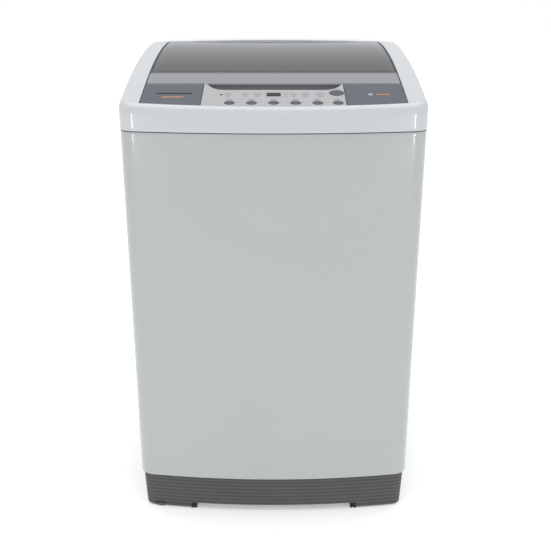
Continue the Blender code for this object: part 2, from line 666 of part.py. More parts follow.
# ---------------------------------------------------------------- tub and basket
def make_tub():
    """The outer tub, with four lugs that ride on the suspension springs."""
    r, wall, floor, rim = TUB_R, TUB_WALL, TUB_BOTTOM_Z, TUB_RIM_Z
    profile = [(r + 0.004, rim), (r + 0.004, rim - 0.010), (r, rim - 0.012), (r - 0.002, floor + 0.03),
               (r - 0.022, floor), (0.030, floor), (0.030, floor + 0.004), (r - 0.024, floor + 0.004),
               (r - 0.002 - wall, floor + 0.032), (r - wall, rim)]
    tub = as_mesh(turned("outer_tub", profile, TUB_GREY))
    for side_x in (-1, 1):
        for side_y in (-1, 1):
            direction = Vector((side_x * ROD_X, side_y * ROD_Y))
            reach = direction.length + 0.018
            start = r - 0.003
            bm = bmesh.new()
            bmesh.ops.create_cube(bm, size=1.0, matrix=Matrix.Diagonal((reach - start, 0.036, 0.013, 1.0)))
            angle = Vector((1, 0)).angle_signed(direction) * -1
            middle = direction.normalized() * (start + reach) / 2
            lug = mesh_object("tub_lug", bm, None, CUTTERS, (*middle, LUG_Z + 0.0065), (0, 0, angle))
            rib = box("lug_rib", (-0.0175, -0.002, -0.018), (0.0175, 0.002, 0.018), collection=CUTTERS)
            rib.location = (*(direction.normalized() * (start + 0.018)), LUG_Z + 0.020)
            rib.rotation_euler = (0, 0, angle)
            hole = cylinder("lug_hole", 0.0062, (side_x * ROD_X, side_y * ROD_Y, LUG_Z - 0.01), 0.05,
                            collection=CUTTERS, facets=12)
            boolean(lug, [rib], "UNION")
            boolean(lug, [hole])
            boolean(tub, [lug], "UNION")
    turned("tub_cover", [(r + 0.0055, rim + 0.004), (r + 0.0055, rim + GAP), (r - 0.030, rim + GAP),
                         (0.186, rim + 0.006), (0.183, rim + 0.004), (0.180, rim + 0.006), (0.182, rim + 0.014),
                         (0.187, rim + 0.016), (r - 0.030, rim + 0.004)], TUB_GREY)


def make_basket():
    """The perforated steel drum between its plastic base and the liquid-filled balance ring, on a cast hub."""
    r, wall = DRUM_R, DRUM_WALL
    turned("basket_drum", [(r, RING_Z + 0.006), (r, DRUM_BOTTOM_Z + 0.014), (r - wall, DRUM_BOTTOM_Z + 0.014),
                           (r - wall, RING_Z + 0.006)], STEEL)
    turned("balance_ring", [(0.209, RING_TOP_Z - 0.006), (0.211, RING_TOP_Z - 0.012), (0.211, RING_Z),
                            (r + GAP, RING_Z), (r + GAP, RING_Z + 0.0065), (r - wall - GAP, RING_Z + 0.0065),
                            (r - wall - GAP, RING_Z - 0.004), (0.190, RING_Z), (RING_INNER_R + 0.002, RING_Z + 0.018),
                            (RING_INNER_R, RING_TOP_Z - 0.014), (RING_INNER_R + 0.004, RING_TOP_Z - 0.003),
                            (0.186, RING_TOP_Z)], WHITE)
    low = DRUM_BOTTOM_Z
    turned("basket_base", [(r + 0.002, low + 0.0135), (r + 0.002, low + 0.004), (r - 0.006, low - 0.006),
                           (0.060, low - 0.006), (0.060, low), (0.178, low), (0.180, low + 0.030),
                           (r - 0.006, low + 0.034), (r - wall - GAP, low + 0.026), (r - wall - GAP, low + 0.0135)],
           TUB_GREY)
    turned("basket_hub", [(0.058, low - 0.001), (0.058, low - 0.0055), (0.0145, low - 0.012), (0.0140, 0.1600),
                          (0.0080, 0.1600), (0.0080, low + 0.008), (0.0160, low + 0.008), (0.0180, low - 0.001)],
           CAST, facets=18)
    filter_box = box("lint_filter", (DRUM_R - 0.0225, -0.032, 0.500), (DRUM_R - 0.0075, 0.032, 0.628), TUB_GREY)
    add_bevel(filter_box, 0.004)


def make_pulsator():
    """The finned disc at the bottom of the basket, on the shaft that comes up through the hub."""
    z = PULSATOR_Z
    r = PULSATOR_R
    disc = as_mesh(turned("pulsator", [(0, z + 0.030), (0.022, z + 0.028), (0.045, z + 0.016), (0.100, z + 0.006),
                                       (0.150, z + 0.006), (r, z + 0.012), (r, z + 0.004), (0.150, z - 0.002),
                                       (0.030, z - 0.002), (0.030, z - 0.010), (0.0062, z - 0.010),
                                       (0.0062, z + 0.014), (0, z + 0.014)], BLUE_GREY, closed=False))
    fins = []
    for i in range(4):
        turn = i * pi / 2
        fin = box("pulsator_fin", (-0.058, -0.010, -0.012), (0.058, 0.010, 0.012), collection=CUTTERS, bevel=0.007)
        fin.location = (0.088 * cos(turn), 0.088 * sin(turn), z + 0.011)
        fin.rotation_euler = (0, 0, turn)
        fins.append(fin)
    boolean(disc, fins, "UNION")
    cylinder("drive_shaft", 0.0058, (0, 0, 0.1680), z + 0.0137 - 0.1680, STEEL)


# ---------------------------------------------------------------- drive and drain
def make_drive():
    """The motor, the belt and the clutch that turn the pulsator or the whole basket."""
    holes = [arc(0, 0, 0.0450, 0, 2 * pi, ROUND + 1)[:-1], arc(0, MOTOR_Y, 0.040, 0, 2 * pi, ROUND + 1)[:-1]]
    outline = [(-0.085, -0.215), (0.085, -0.215), (0.110, -0.060), (0.150, 0.110), (0.110, 0.150), (-0.110, 0.150),
               (-0.150, 0.110), (-0.110, -0.060)]
    mounting = plate("mounting_plate", [outline, *holes], PLATE_Z, PLATE_Z + 0.003, ZINC)
    x, y = BRAKE_PIVOT
    post = cylinder("brake_post", 0.0030, (x, y, 0.2050), PLATE_Z + 0.001 - 0.2050, collection=CUTTERS, facets=12)
    head = cylinder("brake_post_head", 0.0055, (x, y, 0.2045), 0.0028, collection=CUTTERS, facets=12)
    boolean(mounting, [post, head], "UNION")
    turned("clutch_housing", [(0.044, TUB_BOTTOM_Z - 0.001), (0.044, PLATE_Z - GAP), (0.058, PLATE_Z - GAP),
                              (0.058, PLATE_Z - 0.010), (0.052, 0.1500), (0.030, 0.1420), (0.0150, 0.1420),
                              (0.0150, TUB_BOTTOM_Z - 0.001)], CAST, facets=18)
    pulley("clutch_pulley", PULLEY_R, (0, 0), [(0, 0.1590), (0.0075, 0.1590), (0.0075, 0.1400), (0.013, 0.1400)],
           [(0.013, 0.1060), (0, 0.1060)])
    body = [(0, 0.2310), (0.036, 0.2310), (0.037, PLATE_Z - GAP), (0.056, PLATE_Z - GAP), (0.058, 0.2100),
            (0.058, 0.1480), (0.052, 0.1380), (0.018, 0.1380), (0.018, 0.1340), (0, 0.1340)]
    turned("motor_body", body, MOTOR_BLACK, facets=18, location=(0, MOTOR_Y, 0), closed=False)
    pulley("motor_pulley", MOTOR_PULLEY_R, (0, MOTOR_Y), [(0, 0.1336), (0.008, 0.1336)], [(0, BELT_Z - GROOVE_HALF)])
    make_belt()


def pulley(name, radius, at, above, below):
    """A V-grooved pulley, between the shoulders above it and the ones below."""
    rim = radius + 0.003
    root = radius - GROOVE_DEPTH
    groove = [(above[-1][0], BELT_Z + GROOVE_HALF), (rim, BELT_Z + GROOVE_HALF), (root, BELT_Z + 0.0034),
              (root, BELT_Z - 0.0034), (rim, BELT_Z - GROOVE_HALF)]
    if below[0][0]:
        groove.append((below[0][0], BELT_Z - GROOVE_HALF))
    turned(name, [*above, *groove, *below], CAST, facets=18, location=(*at, 0), closed=False)


def make_belt():
    """The belt's two straight runs meet both pulleys at a tangent."""
    swing = pi / 2 - asin((PULLEY_R - MOTOR_PULLEY_R) / -MOTOR_Y)
    loops = []
    for extra in (0.0060, 0.0):
        near = MOTOR_PULLEY_R - GROOVE_DEPTH + GAP + extra
        far = PULLEY_R - GROOVE_DEPTH + GAP + extra
        loops.append(arc(0, MOTOR_Y, near, -swing, swing, 13) + arc(0, 0, far, swing, 2 * pi - swing, 33))
    plate("drive_belt", loops, BELT_Z - BELT_H / 2, BELT_Z + BELT_H / 2, RUBBER)


def make_brake():
    """The lever that frees the basket's brake, and the rod that draws it and the drain valve together."""
    x, y = BRAKE_PIVOT
    line_y, line_z = ROD_LINE
    lever_z = line_z + 0.0028
    outline = opening_outline(0.0070, -0.0075, 0.0420, 0.0065, front=3, corner=5, side=3)
    outline = [(x + a, y + b) for a, b in outline]
    pivot = arc(x, y, 0.0034, 0, 2 * pi, 13)[:-1]
    slot = [(x + a, y + b) for a, b in opening_outline(0.0022, 0.0265, 0.0385, 0.0021, front=2, corner=4, side=2)]
    lever = plate("brake_lever", [outline, pivot, slot], lever_z, lever_z + 0.003, ZINC)
    set_origin(lever, (x, y, lever_z))
    rod = cylinder("pull_rod", 0.0020, (-0.083, line_y, line_z), 0.251, STEEL, facets=12, turn=(0, pi / 2, 0))
    pin = cylinder("rod_pin", 0.0016, (x, line_y, line_z), 0.0076, collection=CUTTERS, facets=8)
    boolean(rod, [pin], "UNION")


def set_origin(obj, point):
    """Moves a placed mesh's origin to a world point, and leaves its shape where it is."""
    obj.data.transform(Matrix.Translation(obj.location - Vector(point)))
    obj.location = point


def make_drain():
    """The valve under the tub, the actuator that pulls it open, and the way out at the back."""
    line_y, line_z = ROD_LINE
    across = (0, pi / 2, 0)
    valve = cylinder("drain_valve", 0.019, (0.150, line_y, line_z), 0.055, TUB_GREY, facets=18, turn=across)
    neck = cylinder("valve_neck", 0.014, (0.166, line_y, line_z), TUB_BOTTOM_Z - GAP - line_z, collection=CUTTERS)
    spout = cylinder("valve_spout", 0.0095, (0.186, line_y, 0.165), 0.03, collection=CUTTERS)
    boolean(valve, [neck, spout], "UNION")
    bore = cylinder("stem_bore", 0.0028, (0.149, line_y, line_z), 0.021, collection=CUTTERS, facets=12, turn=across)
    boolean(valve, [bore])
    actuator = box("drain_actuator", (-0.140, line_y - 0.020, line_z - 0.018), (-0.0850, line_y + 0.020,
                   PLATE_Z - GAP), TUB_GREY)
    bore = cylinder("cord_bore", 0.0028, (-0.105, line_y, line_z), 0.021, collection=CUTTERS, facets=12, turn=across)
    boolean(actuator, [bore])
    x, z = OUTLET_XZ
    wire("inner_drain_hose", [(0.186, line_y, 0.1647), (0.186, line_y, 0.145), (0.189, line_y + 0.020, 0.132),
                              (0.200, line_y + 0.065, 0.128), (x, line_y + 0.115, z), (x, 0.2447, z)],
         0.0105, HOSE_BLACK, bevel_resolution=2)
    turned("drain_outlet", [(0.0100, 0.0095), (0.0100, 0.0020), (0.0140, 0.0020), (0.0140, -0.0005), (0.0100, -0.0005),
                            (0.0100, -0.0200), (0.0072, -0.0200), (0.0072, 0.0095)], TUB_GREY, facets=SMALL,
           location=(x, BACK_Y, z), turn=(-pi / 2, 0, 0))


# ---------------------------------------------------------------- water, detergent and power
def make_drawer():
    """The detergent drawer, which slides out over the mouth, and the housing that rinses it."""
    low, top = DRAWER_LOW_Z, DRAWER_TOP_Z
    front = box("detergent_drawer", (-0.0575, 0.1765, low), (0.0575, 0.1800, top), WHITE, bevel=0.001)
    bin_body = box("drawer_bin", (-0.0545, 0.1790, low + 0.0025), (0.0545, 0.2500, top - 0.0020), collection=CUTTERS)
    boolean(front, [bin_body], "UNION")
    cells = [box(f"drawer_cell_{side}", (low_x, 0.1820, low + 0.0045), (high_x, 0.2480, top + 0.01), collection=CUTTERS)
             for side, low_x, high_x in (("left", -0.0525, -0.0010), ("right", 0.0010, 0.0525))]
    boolean(front, cells)
    housing = box("drawer_housing", (-0.0625, 0.1905, low - 0.0020), (0.0625, 0.2560, top + 0.0045), WHITE)
    space = box("drawer_space", (-0.0565, 0.17, low + 0.0010), (0.0565, 0.2535, top + 0.0015), collection=CUTTERS)
    boolean(housing, [space])


def make_inlet():
    """The solenoid valve that lets the water in, with its threaded inlet at the back."""
    x, z = INLET
    valve = box("inlet_valve", (x - 0.020, 0.2425, z - 0.016), (x + 0.020, 0.2605, z + 0.014), TUB_GREY, bevel=0.002)
    coil_can = cylinder("inlet_coil", 0.0095, (x, 0.2510, z - 0.046), 0.032, collection=CUTTERS)
    thread = cylinder("inlet_thread", 0.0132, (x, 0.2600, z), 0.015, collection=CUTTERS, facets=18,
                      turn=(-pi / 2, 0, 0))
    boolean(valve, [coil_can, thread], "UNION")
    bore = cylinder("inlet_bore", 0.0095, (x, 0.2560, z), 0.03, collection=CUTTERS, turn=(-pi / 2, 0, 0))
    boolean(valve, [bore])


def make_level_sensor():
    """The round air-pressure switch that measures the water's height, with its hose nipple."""
    sensor = cylinder("level_sensor", 0.0170, (0.110, 0.2300, 0.7840), 0.0222, WHITE, facets=18)
    nipple = cylinder("sensor_nipple", 0.0030, (0.110, 0.2300, 0.7700), 0.02, collection=CUTTERS, facets=12)
    boolean(sensor, [nipple], "UNION")


def make_gland():
    """The strain relief that the mains cord comes out of."""
    x, z = GLAND_XZ
    turned("power_gland", [(0.0065, 0.0090), (0.0095, 0.0055), (0.0120, 0.0030), (0.0120, -0.0005), (0.0080, -0.0005),
                           (0.0080, -0.0100), (0.0045, -0.0100), (0.0045, 0.0090)], RUBBER, facets=SMALL,
           location=(x, BACK_Y, z), turn=(-pi / 2, 0, 0))


# ---------------------------------------------------------------- the whole machine
def build():
    make_cabinet()
    make_rear_cover()
    make_top_cover()
    make_hinge_cover()
    make_mouth_deck()
    make_control_panel()
    make_lid()
    make_base()
    make_feet()
    make_suspension()
    make_tub()
    make_basket()
    make_pulsator()
    make_drive()
    make_brake()
    make_drain()
    make_drawer()
    make_inlet()
    make_level_sensor()
    make_gland()


build()
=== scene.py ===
"""A top load washing machine's looks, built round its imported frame.

Metres, +Z up. The origin is the middle of the footprint, on the floor. The user stands at -Y.
"""

from math import asin, atan, cos, exp, pi, radians, sin, sqrt

import bmesh
import bpy
from mathutils import Matrix, Vector


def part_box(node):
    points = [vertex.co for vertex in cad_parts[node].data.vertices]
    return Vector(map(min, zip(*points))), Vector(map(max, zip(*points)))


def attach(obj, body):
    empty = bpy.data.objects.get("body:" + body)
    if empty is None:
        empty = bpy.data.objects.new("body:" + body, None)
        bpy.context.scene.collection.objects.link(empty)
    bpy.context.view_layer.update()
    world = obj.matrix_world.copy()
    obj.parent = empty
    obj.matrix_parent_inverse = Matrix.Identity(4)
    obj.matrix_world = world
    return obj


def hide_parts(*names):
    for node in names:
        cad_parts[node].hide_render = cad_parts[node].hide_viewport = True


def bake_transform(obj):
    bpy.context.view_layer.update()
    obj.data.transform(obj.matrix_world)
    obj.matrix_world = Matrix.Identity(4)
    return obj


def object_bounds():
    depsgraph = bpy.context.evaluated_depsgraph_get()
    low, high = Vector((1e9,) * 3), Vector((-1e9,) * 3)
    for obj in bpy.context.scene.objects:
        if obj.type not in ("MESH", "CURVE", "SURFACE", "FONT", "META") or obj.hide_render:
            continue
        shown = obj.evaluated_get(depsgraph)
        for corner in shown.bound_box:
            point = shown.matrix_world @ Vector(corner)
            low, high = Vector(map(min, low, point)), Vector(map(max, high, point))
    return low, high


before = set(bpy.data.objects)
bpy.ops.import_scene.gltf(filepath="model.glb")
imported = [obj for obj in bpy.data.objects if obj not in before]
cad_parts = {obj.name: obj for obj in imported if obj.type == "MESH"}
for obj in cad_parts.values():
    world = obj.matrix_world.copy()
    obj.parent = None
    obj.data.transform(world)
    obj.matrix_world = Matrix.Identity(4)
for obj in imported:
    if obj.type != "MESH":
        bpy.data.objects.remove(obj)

cad_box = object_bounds()

# ---------------------------------------------------------------- sizes, from the frame's own boxes
TOP_LOW, TOP_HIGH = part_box("top_cover")
CAB_LOW, CAB_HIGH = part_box("cabinet")
BASE_LOW, BASE_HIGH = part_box("base_frame")
PANEL_LOW, PANEL_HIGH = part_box("panel_housing")
LID_LOW, LID_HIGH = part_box("lid_frame")
DECK_LOW, DECK_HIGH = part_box("mouth_deck")
DRUM_LOW, DRUM_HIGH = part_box("basket_drum")


def middle_of(node):
    """The middle of a CAD node's box."""
    low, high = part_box(node)
    return (low + high) / 2


HALF = TOP_HIGH.x
FRONT_Y, BACK_Y = TOP_LOW.y, TOP_HIGH.y
SEAM_Z = TOP_LOW.z
BOW = 0.018  # how far the middle of the front stands ahead of its corners
CORNER_R, REAR_CORNER_R = 0.03, 0.045
SHOULDER_IN, SHOULDER_DROP = 0.0112, 0.0175  # the rounding of the cover's outer edge: how far in and down
SHOULDER_POWER = 2.15  # how square that rounding is. 2 is an ellipse
PANEL_TOP_Z = 0.8224  # the top's skin at the front edge of the control panel
RISE, ARCH = 0.2762, 0.3187  # how steeply the skin sets out to the back, and how it bends over
DIP, DIP_SLOPE, DIP_LENGTH = 0.0045, 0.1213, 0.0371  # the slight hollow over the control panel
PANEL_FRONT_Y, PANEL_BACK_Y = PANEL_LOW.y, PANEL_HIGH.y
PANEL_HALF = PANEL_HIGH.x
PANEL_BOW = BOW * (PANEL_HALF / (HALF - CORNER_R)) ** 2
INSERT_X = 0.1252  # where the dark end inserts meet the middle of the panel
SCOOP_X, SCOOP_HALF, SCOOP_Y, SCOOP_Z = 0.0015, 0.1205, -0.174, 0.8165  # middle, half width, lip and floor
SCOOP_SWING = 0.042  # the length over which the scoop's lip swings back at each end
LID_FRONT_Y, LID_BACK_Y = LID_LOW.y, LID_HIGH.y
GLASS_FRONT_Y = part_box("lid_glass")[0].y
LID_HALF = LID_HIGH.x
LEDGE_Z = cad_box[1][2] - 0.0027  # the low step behind the lid that the hinge cover lies on
LEDGE_FALL, LEDGE_RUN = 0.0034, 0.004  # its fall to the corners, and its run behind the lid
DECK_Z = DECK_HIGH.z
MOUTH = (0.0, 0.03, 0.163, 0.155)  # centre x, centre y, half width, half length
COLLAR_Z = DECK_LOW.z
HINGE = middle_of("lid_hinge_rod")
OUTLET = middle_of("drain_outlet")
GLAND = middle_of("power_gland")
HANGER_X, HANGER_Y = 0.222, 0.206  # where the four suspension rods hang
INLET = Vector((middle_of("inlet_valve").x, BACK_Y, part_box("inlet_valve")[1].z - 0.014))
BUTTONS = [(f"button_{i + 1}", x, -0.235, 0.0083) for i, x in enumerate((-0.076, -0.038, 0.0, 0.038, 0.076,
                                                                         0.111))]
BUTTONS.append(("start_button", 0.111, -0.19, 0.0122))
DISPLAY_Y = -0.197
CORNERS = [(name_y, name_x, side_x, side_y) for name_y, side_y in (("front", -1), ("rear", 1))
           for name_x, side_x in (("left", -1), ("right", 1))]


def crown(y):
    """Height of the top's skin: it climbs from the panel, arches over the lid and falls a little behind."""
    ahead = y - PANEL_FRONT_Y
    return PANEL_TOP_Z + RISE * ahead - ARCH * ahead**2 - DIP * (1 - exp(-ahead / DIP_LENGTH))


def crown_slope(y):
    """The slope of crown."""
    ahead = y - PANEL_FRONT_Y
    return RISE - 2 * ARCH * ahead - DIP_SLOPE * exp(-ahead / DIP_LENGTH)


def lean(y):
    """The turn about X that stands a piece square on the sloping top."""
    return atan(crown_slope(y))


def on_panel(x, y, depth):
    """The point this far under the panel's skin, along its normal."""
    return (x, y + depth * sin(lean(y)), crown(y) - depth * cos(lean(y)))


def ledge_fall(x):
    """How far the step behind the lid has fallen from its middle."""
    return LEDGE_FALL * (x / LID_HALF) ** 2


# ---------------------------------------------------------------- materials
def shader_of(name):
    """A new material, with its node tree and its shader."""
    made = bpy.data.materials.new(name)
    made.use_nodes = True
    return made, made.node_tree, made.node_tree.nodes["Principled BSDF"]


def finish(name, colour, roughness, metallic=0.0, coat=0.0, tone=0.03, tone_scale=9.0, rough_vary=0.04,
           grain=0.00002, grain_scale=700.0, stretch=(1, 1, 1), speckle=0.0, speckle_scale=2500.0, wave=0.0,
           specular=0.5):
    """A finish: its colour drifts by tone, its gloss by rough_vary, and its skin rises by grain metres."""
    made, tree, shader = shader_of(name)
    nodes, links = tree.nodes, tree.links
    shader.inputs["Metallic"].default_value = metallic
    shader.inputs["Coat Weight"].default_value = coat
    shader.inputs["Coat Roughness"].default_value = 0.06
    shader.inputs["Specular IOR Level"].default_value = specular
    place = nodes.new("ShaderNodeTexCoord")
    scale = nodes.new("ShaderNodeMapping")
    scale.inputs["Scale"].default_value = stretch
    links.new(place.outputs["Object"], scale.inputs["Vector"])

    def noise_at(size, fine):
        made_noise = nodes.new("ShaderNodeTexNoise")
        made_noise.inputs["Scale"].default_value = size
        made_noise.inputs["Detail"].default_value = fine
        links.new(scale.outputs["Vector"], made_noise.inputs["Vector"])
        return made_noise.outputs["Fac"]

    drift = nodes.new("ShaderNodeValToRGB")
    drift.color_ramp.elements[0].position = 0.3
    drift.color_ramp.elements[1].position = 0.7
    drift.color_ramp.elements[0].color = (*(c * (1 - tone) for c in colour), 1)
    drift.color_ramp.elements[1].color = (*(min(1, c * (1 + tone)) for c in colour), 1)
    links.new(noise_at(tone_scale, 4.0), drift.inputs["Fac"])
    colour_out = drift.outputs["Color"]
    if speckle:
        flecks = nodes.new("ShaderNodeValToRGB")
        flecks.color_ramp.elements[0].position = 0.42
        flecks.color_ramp.elements[1].position = 0.66
        flecks.color_ramp.elements[0].color = (1 - speckle, 1 - speckle, 1 - speckle, 1)
        flecks.color_ramp.elements[1].color = (1, 1, 1, 1)
        links.new(noise_at(speckle_scale, 1.0), flecks.inputs["Fac"])
        blend = nodes.new("ShaderNodeMix")
        blend.data_type = "RGBA"
        blend.blend_type = "MULTIPLY"
        blend.inputs["Factor"].default_value = 1.0
        links.new(colour_out, blend.inputs["A"])
        links.new(flecks.outputs["Color"], blend.inputs["B"])
        colour_out = blend.outputs["Result"]
    links.new(colour_out, shader.inputs["Base Color"])
    gloss = nodes.new("ShaderNodeMapRange")
    gloss.inputs["To Min"].default_value = max(0.02, roughness - rough_vary)
    gloss.inputs["To Max"].default_value = min(1.0, roughness + rough_vary)
    links.new(noise_at(tone_scale * 6, 3.0), gloss.inputs["Value"])
    links.new(gloss.outputs["Result"], shader.inputs["Roughness"])
    bump = nodes.new("ShaderNodeBump")
    bump.inputs["Distance"].default_value = grain
    links.new(noise_at(grain_scale, 3.0), bump.inputs["Height"])
    links.new(bump.outputs["Normal"], shader.inputs["Normal"])
    if wave:
        sag = nodes.new("ShaderNodeBump")
        sag.inputs["Distance"].default_value = wave
        links.new(noise_at(tone_scale * 1.3, 1.0), sag.inputs["Height"])
        links.new(sag.outputs["Normal"], bump.inputs["Normal"])
    return made


ENAMEL = finish("enamel", (0.425, 0.447, 0.446), 0.24, coat=0.6, tone=0.012, grain=0.000007, grain_scale=420,
                wave=0.00005, rough_vary=0.03)
WHITE = finish("white_plastic", (0.552, 0.564, 0.577), 0.24, coat=0.6, tone=0.012, grain=0.000005,
               grain_scale=420, wave=0.00003, rough_vary=0.03)
WHITE_FINE = finish("white_moulding", (0.72, 0.73, 0.75), 0.42, tone=0.02, grain=0.00003, grain_scale=1600)
PANEL = finish("panel_light_grey", (0.4, 0.402, 0.408), 0.36, tone=0.012, grain=0.00001, grain_scale=2200,
               speckle=0.05, speckle_scale=3500)
INSERT = finish("insert_dark_grey", (0.092, 0.098, 0.116), 0.38, specular=0.3, tone=0.03, grain=0.00001,
                grain_scale=2000, speckle=0.1, speckle_scale=3200)
SILVER = finish("lid_silver_paint", (0.29, 0.294, 0.31), 0.33, metallic=0.35, coat=0.25, tone=0.015,
                grain=0.00001, grain_scale=1800, speckle=0.16, speckle_scale=4200)
BUTTON = finish("button_grey", (0.092, 0.094, 0.1), 0.46, specular=0.3, tone=0.03, grain=0.00003,
                grain_scale=2600, speckle=0.22, speckle_scale=1500)
SCOOP = finish("scoop_grey", (0.36, 0.363, 0.37), 0.5, tone=0.04, grain=0.00003, grain_scale=1500)
BASE = finish("base_dark_grey", (0.084, 0.084, 0.081), 0.5, tone=0.06, grain=0.00007, grain_scale=900,
              speckle=0.12, speckle_scale=1300)
RUBBER = finish("rubber_black", (0.022, 0.022, 0.023), 0.78, tone=0.15, grain=0.00006, grain_scale=1100,
                specular=0.3)
GASKET = finish("gasket_charcoal", (0.035, 0.037, 0.041), 0.48, tone=0.06, grain=0.00003, grain_scale=1600)
ZINC = finish("zinc_plate", (0.58, 0.59, 0.6), 0.34, metallic=1.0, tone=0.1, tone_scale=38, rough_vary=0.1,
              grain=0.00002, grain_scale=600, speckle=0.12, speckle_scale=240)
STEEL = finish("stainless_sheet", (0.66, 0.66, 0.67), 0.25, metallic=1.0, tone=0.03, rough_vary=0.07,
               grain=0.000008, grain_scale=240, stretch=(1, 1, 14))
WIRE_STEEL = finish("spring_wire", (0.42, 0.42, 0.44), 0.32, metallic=1.0, tone=0.08, tone_scale=60,
                    grain=0.000015, grain_scale=900)
CAST = finish("cast_aluminium", (0.52, 0.53, 0.54), 0.52, metallic=1.0, tone=0.06, grain=0.00012,
              grain_scale=420, speckle=0.1, speckle_scale=700)
TUB = finish("tub_plastic", (0.5, 0.53, 0.535), 0.5, tone=0.035, grain=0.00004, grain_scale=700, speckle=0.05)
PULSATOR_BLUE = finish("pulsator_plastic", (0.6, 0.66, 0.73), 0.32, coat=0.2, tone=0.02, grain=0.00002,
                       grain_scale=900)
MOTOR_BLACK = finish("motor_paint", (0.035, 0.036, 0.04), 0.4, tone=0.08, grain=0.00008, grain_scale=500)
COPPER = finish("winding_enamel", (0.5, 0.2, 0.08), 0.35, metallic=1.0, tone=0.12, tone_scale=120,
                grain=0.0002, grain_scale=300, stretch=(1, 1, 8))
BELT_RUBBER = finish("belt_rubber", (0.03, 0.031, 0.033), 0.7, tone=0.2, grain=0.00012, grain_scale=520)
ORANGE = finish("accent_orange", (0.6, 0.2, 0.085), 0.4, tone=0.02, grain=0.00001)
MARK = finish("print_grey", (0.26, 0.27, 0.29), 0.45, tone=0.03, grain=0.00001)
MARK_DARK = finish("print_dark", (0.016, 0.018, 0.022), 0.55, specular=0.15, tone=0.03, grain=0.00001)
BOARD = finish("circuit_board", (0.03, 0.13, 0.06), 0.45, tone=0.1, tone_scale=160, grain=0.00006,
               grain_scale=900)
COLLAR = finish("panel_collar", (0.33, 0.335, 0.345), 0.4, tone=0.02, grain=0.00002, grain_scale=1800)
FRAME_GREY = finish("lid_frame_grey", (0.19, 0.195, 0.2), 0.45, tone=0.03, grain=0.00003, grain_scale=1200)
STAGE = finish("studio_paper", (0.92, 0.92, 0.92), 0.85, tone=0.006, grain=0.00005, grain_scale=300,
               specular=0.15)
glow = STAGE.node_tree.nodes["Principled BSDF"].inputs
glow["Emission Color"].default_value = (1, 1, 1, 1)
glow["Emission Strength"].default_value = 0.3
DISPLAY = finish("display_black", (0.02, 0.026, 0.026), 0.22, specular=0.1, tone=0.04, rough_vary=0.02,
                 grain=0.000004)


def smoked_acrylic():
    """See-through grey-green acrylic, with faint swirls of haze in its gloss."""
    made, tree, shader = shader_of("smoked_acrylic")
    shader.inputs["Base Color"].default_value = (0.055, 0.058, 0.055, 1)
    shader.inputs["IOR"].default_value = 1.42
    shader.inputs["Transmission Weight"].default_value = 0.55
    place = tree.nodes.new("ShaderNodeTexCoord")
    haze = tree.nodes.new("ShaderNodeTexNoise")
    haze.inputs["Scale"].default_value = 14.0
    gloss = tree.nodes.new("ShaderNodeMapRange")
    gloss.inputs["To Min"].default_value = 0.02
    gloss.inputs["To Max"].default_value = 0.07
    tree.links.new(place.outputs["Object"], haze.inputs["Vector"])
    tree.links.new(haze.outputs["Fac"], gloss.inputs["Value"])
    tree.links.new(gloss.outputs["Result"], shader.inputs["Roughness"])
    return made


SMOKED = smoked_acrylic()

# ---------------------------------------------------------------- modelling tools
def piece(name, bm, material, body, slot, replaced=(), smooth=32, location=(0, 0, 0), tilt=0.0):
    """Makes the mesh an object that rides on a body and stands for the replaced CAD nodes."""
    bmesh.ops.remove_doubles(bm, verts=bm.verts, dist=0.000005)
    bmesh.ops.recalc_face_normals(bm, faces=bm.faces)
    mesh = bpy.data.meshes.new(name)
    bm.to_mesh(mesh)
    bm.free()
    mesh.transform(Matrix.Translation(location) @ Matrix.Rotation(tilt, 4, "X"))
    mesh.shade_smooth()
    mesh.set_sharp_from_angle(angle=radians(smooth))
    mesh.materials.append(material)
    obj = bpy.data.objects.new(name, mesh)
    bpy.context.scene.collection.objects.link(obj)
    if body:
        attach(obj, body)
        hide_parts(*replaced)
    return obj


def spread(low, high, count):
    """Evenly spaced values, with both ends."""
    return [low + (high - low) * i / (count - 1) for i in range(count)]


def loft(bm, rings, closed=True, cap_start=False, cap_end=False, loop=False):
    """Faces between rings that have the same number of points. loop also joins the last ring to the first."""
    rows = [[bm.verts.new(point) for point in ring] for ring in rings]
    pairs = list(zip(rows, rows[1:]))
    if loop:
        pairs.append((rows[-1], rows[0]))
    count = len(rows[0])
    for a, b in pairs:
        for i in range(count if closed else count - 1):
            j = (i + 1) % count
            bm.faces.new((a[i], a[j], b[j], b[i]))
    if cap_start:
        bm.faces.new(rows[0][::-1])
    if cap_end:
        bm.faces.new(rows[-1])
    return rows


def turns(count, phase=0.0):
    """Angles evenly round a circle. A phase of 0.5 moves them on by half a step."""
    return [2 * pi * (i + phase) / count for i in range(count)]


def ring_at(radius, z, facets, centre=(0, 0)):
    return [(centre[0] + radius * cos(a), centre[1] + radius * sin(a), z) for a in turns(facets)]


def lathe(bm, profile, facets=96, centre=(0, 0), z=0.0, matrix=None):
    """A turned piece from (radius, height) pairs. A radius of 0 closes it on its axis."""
    rings = [ring_at(max(radius, 0.000001), z + height, facets, centre) for radius, height in profile]
    if matrix is not None:
        rings = [[matrix @ Vector(point) for point in ring] for ring in rings]
    loft(bm, rings, loop=profile[0][0] > 0 and profile[-1][0] > 0)


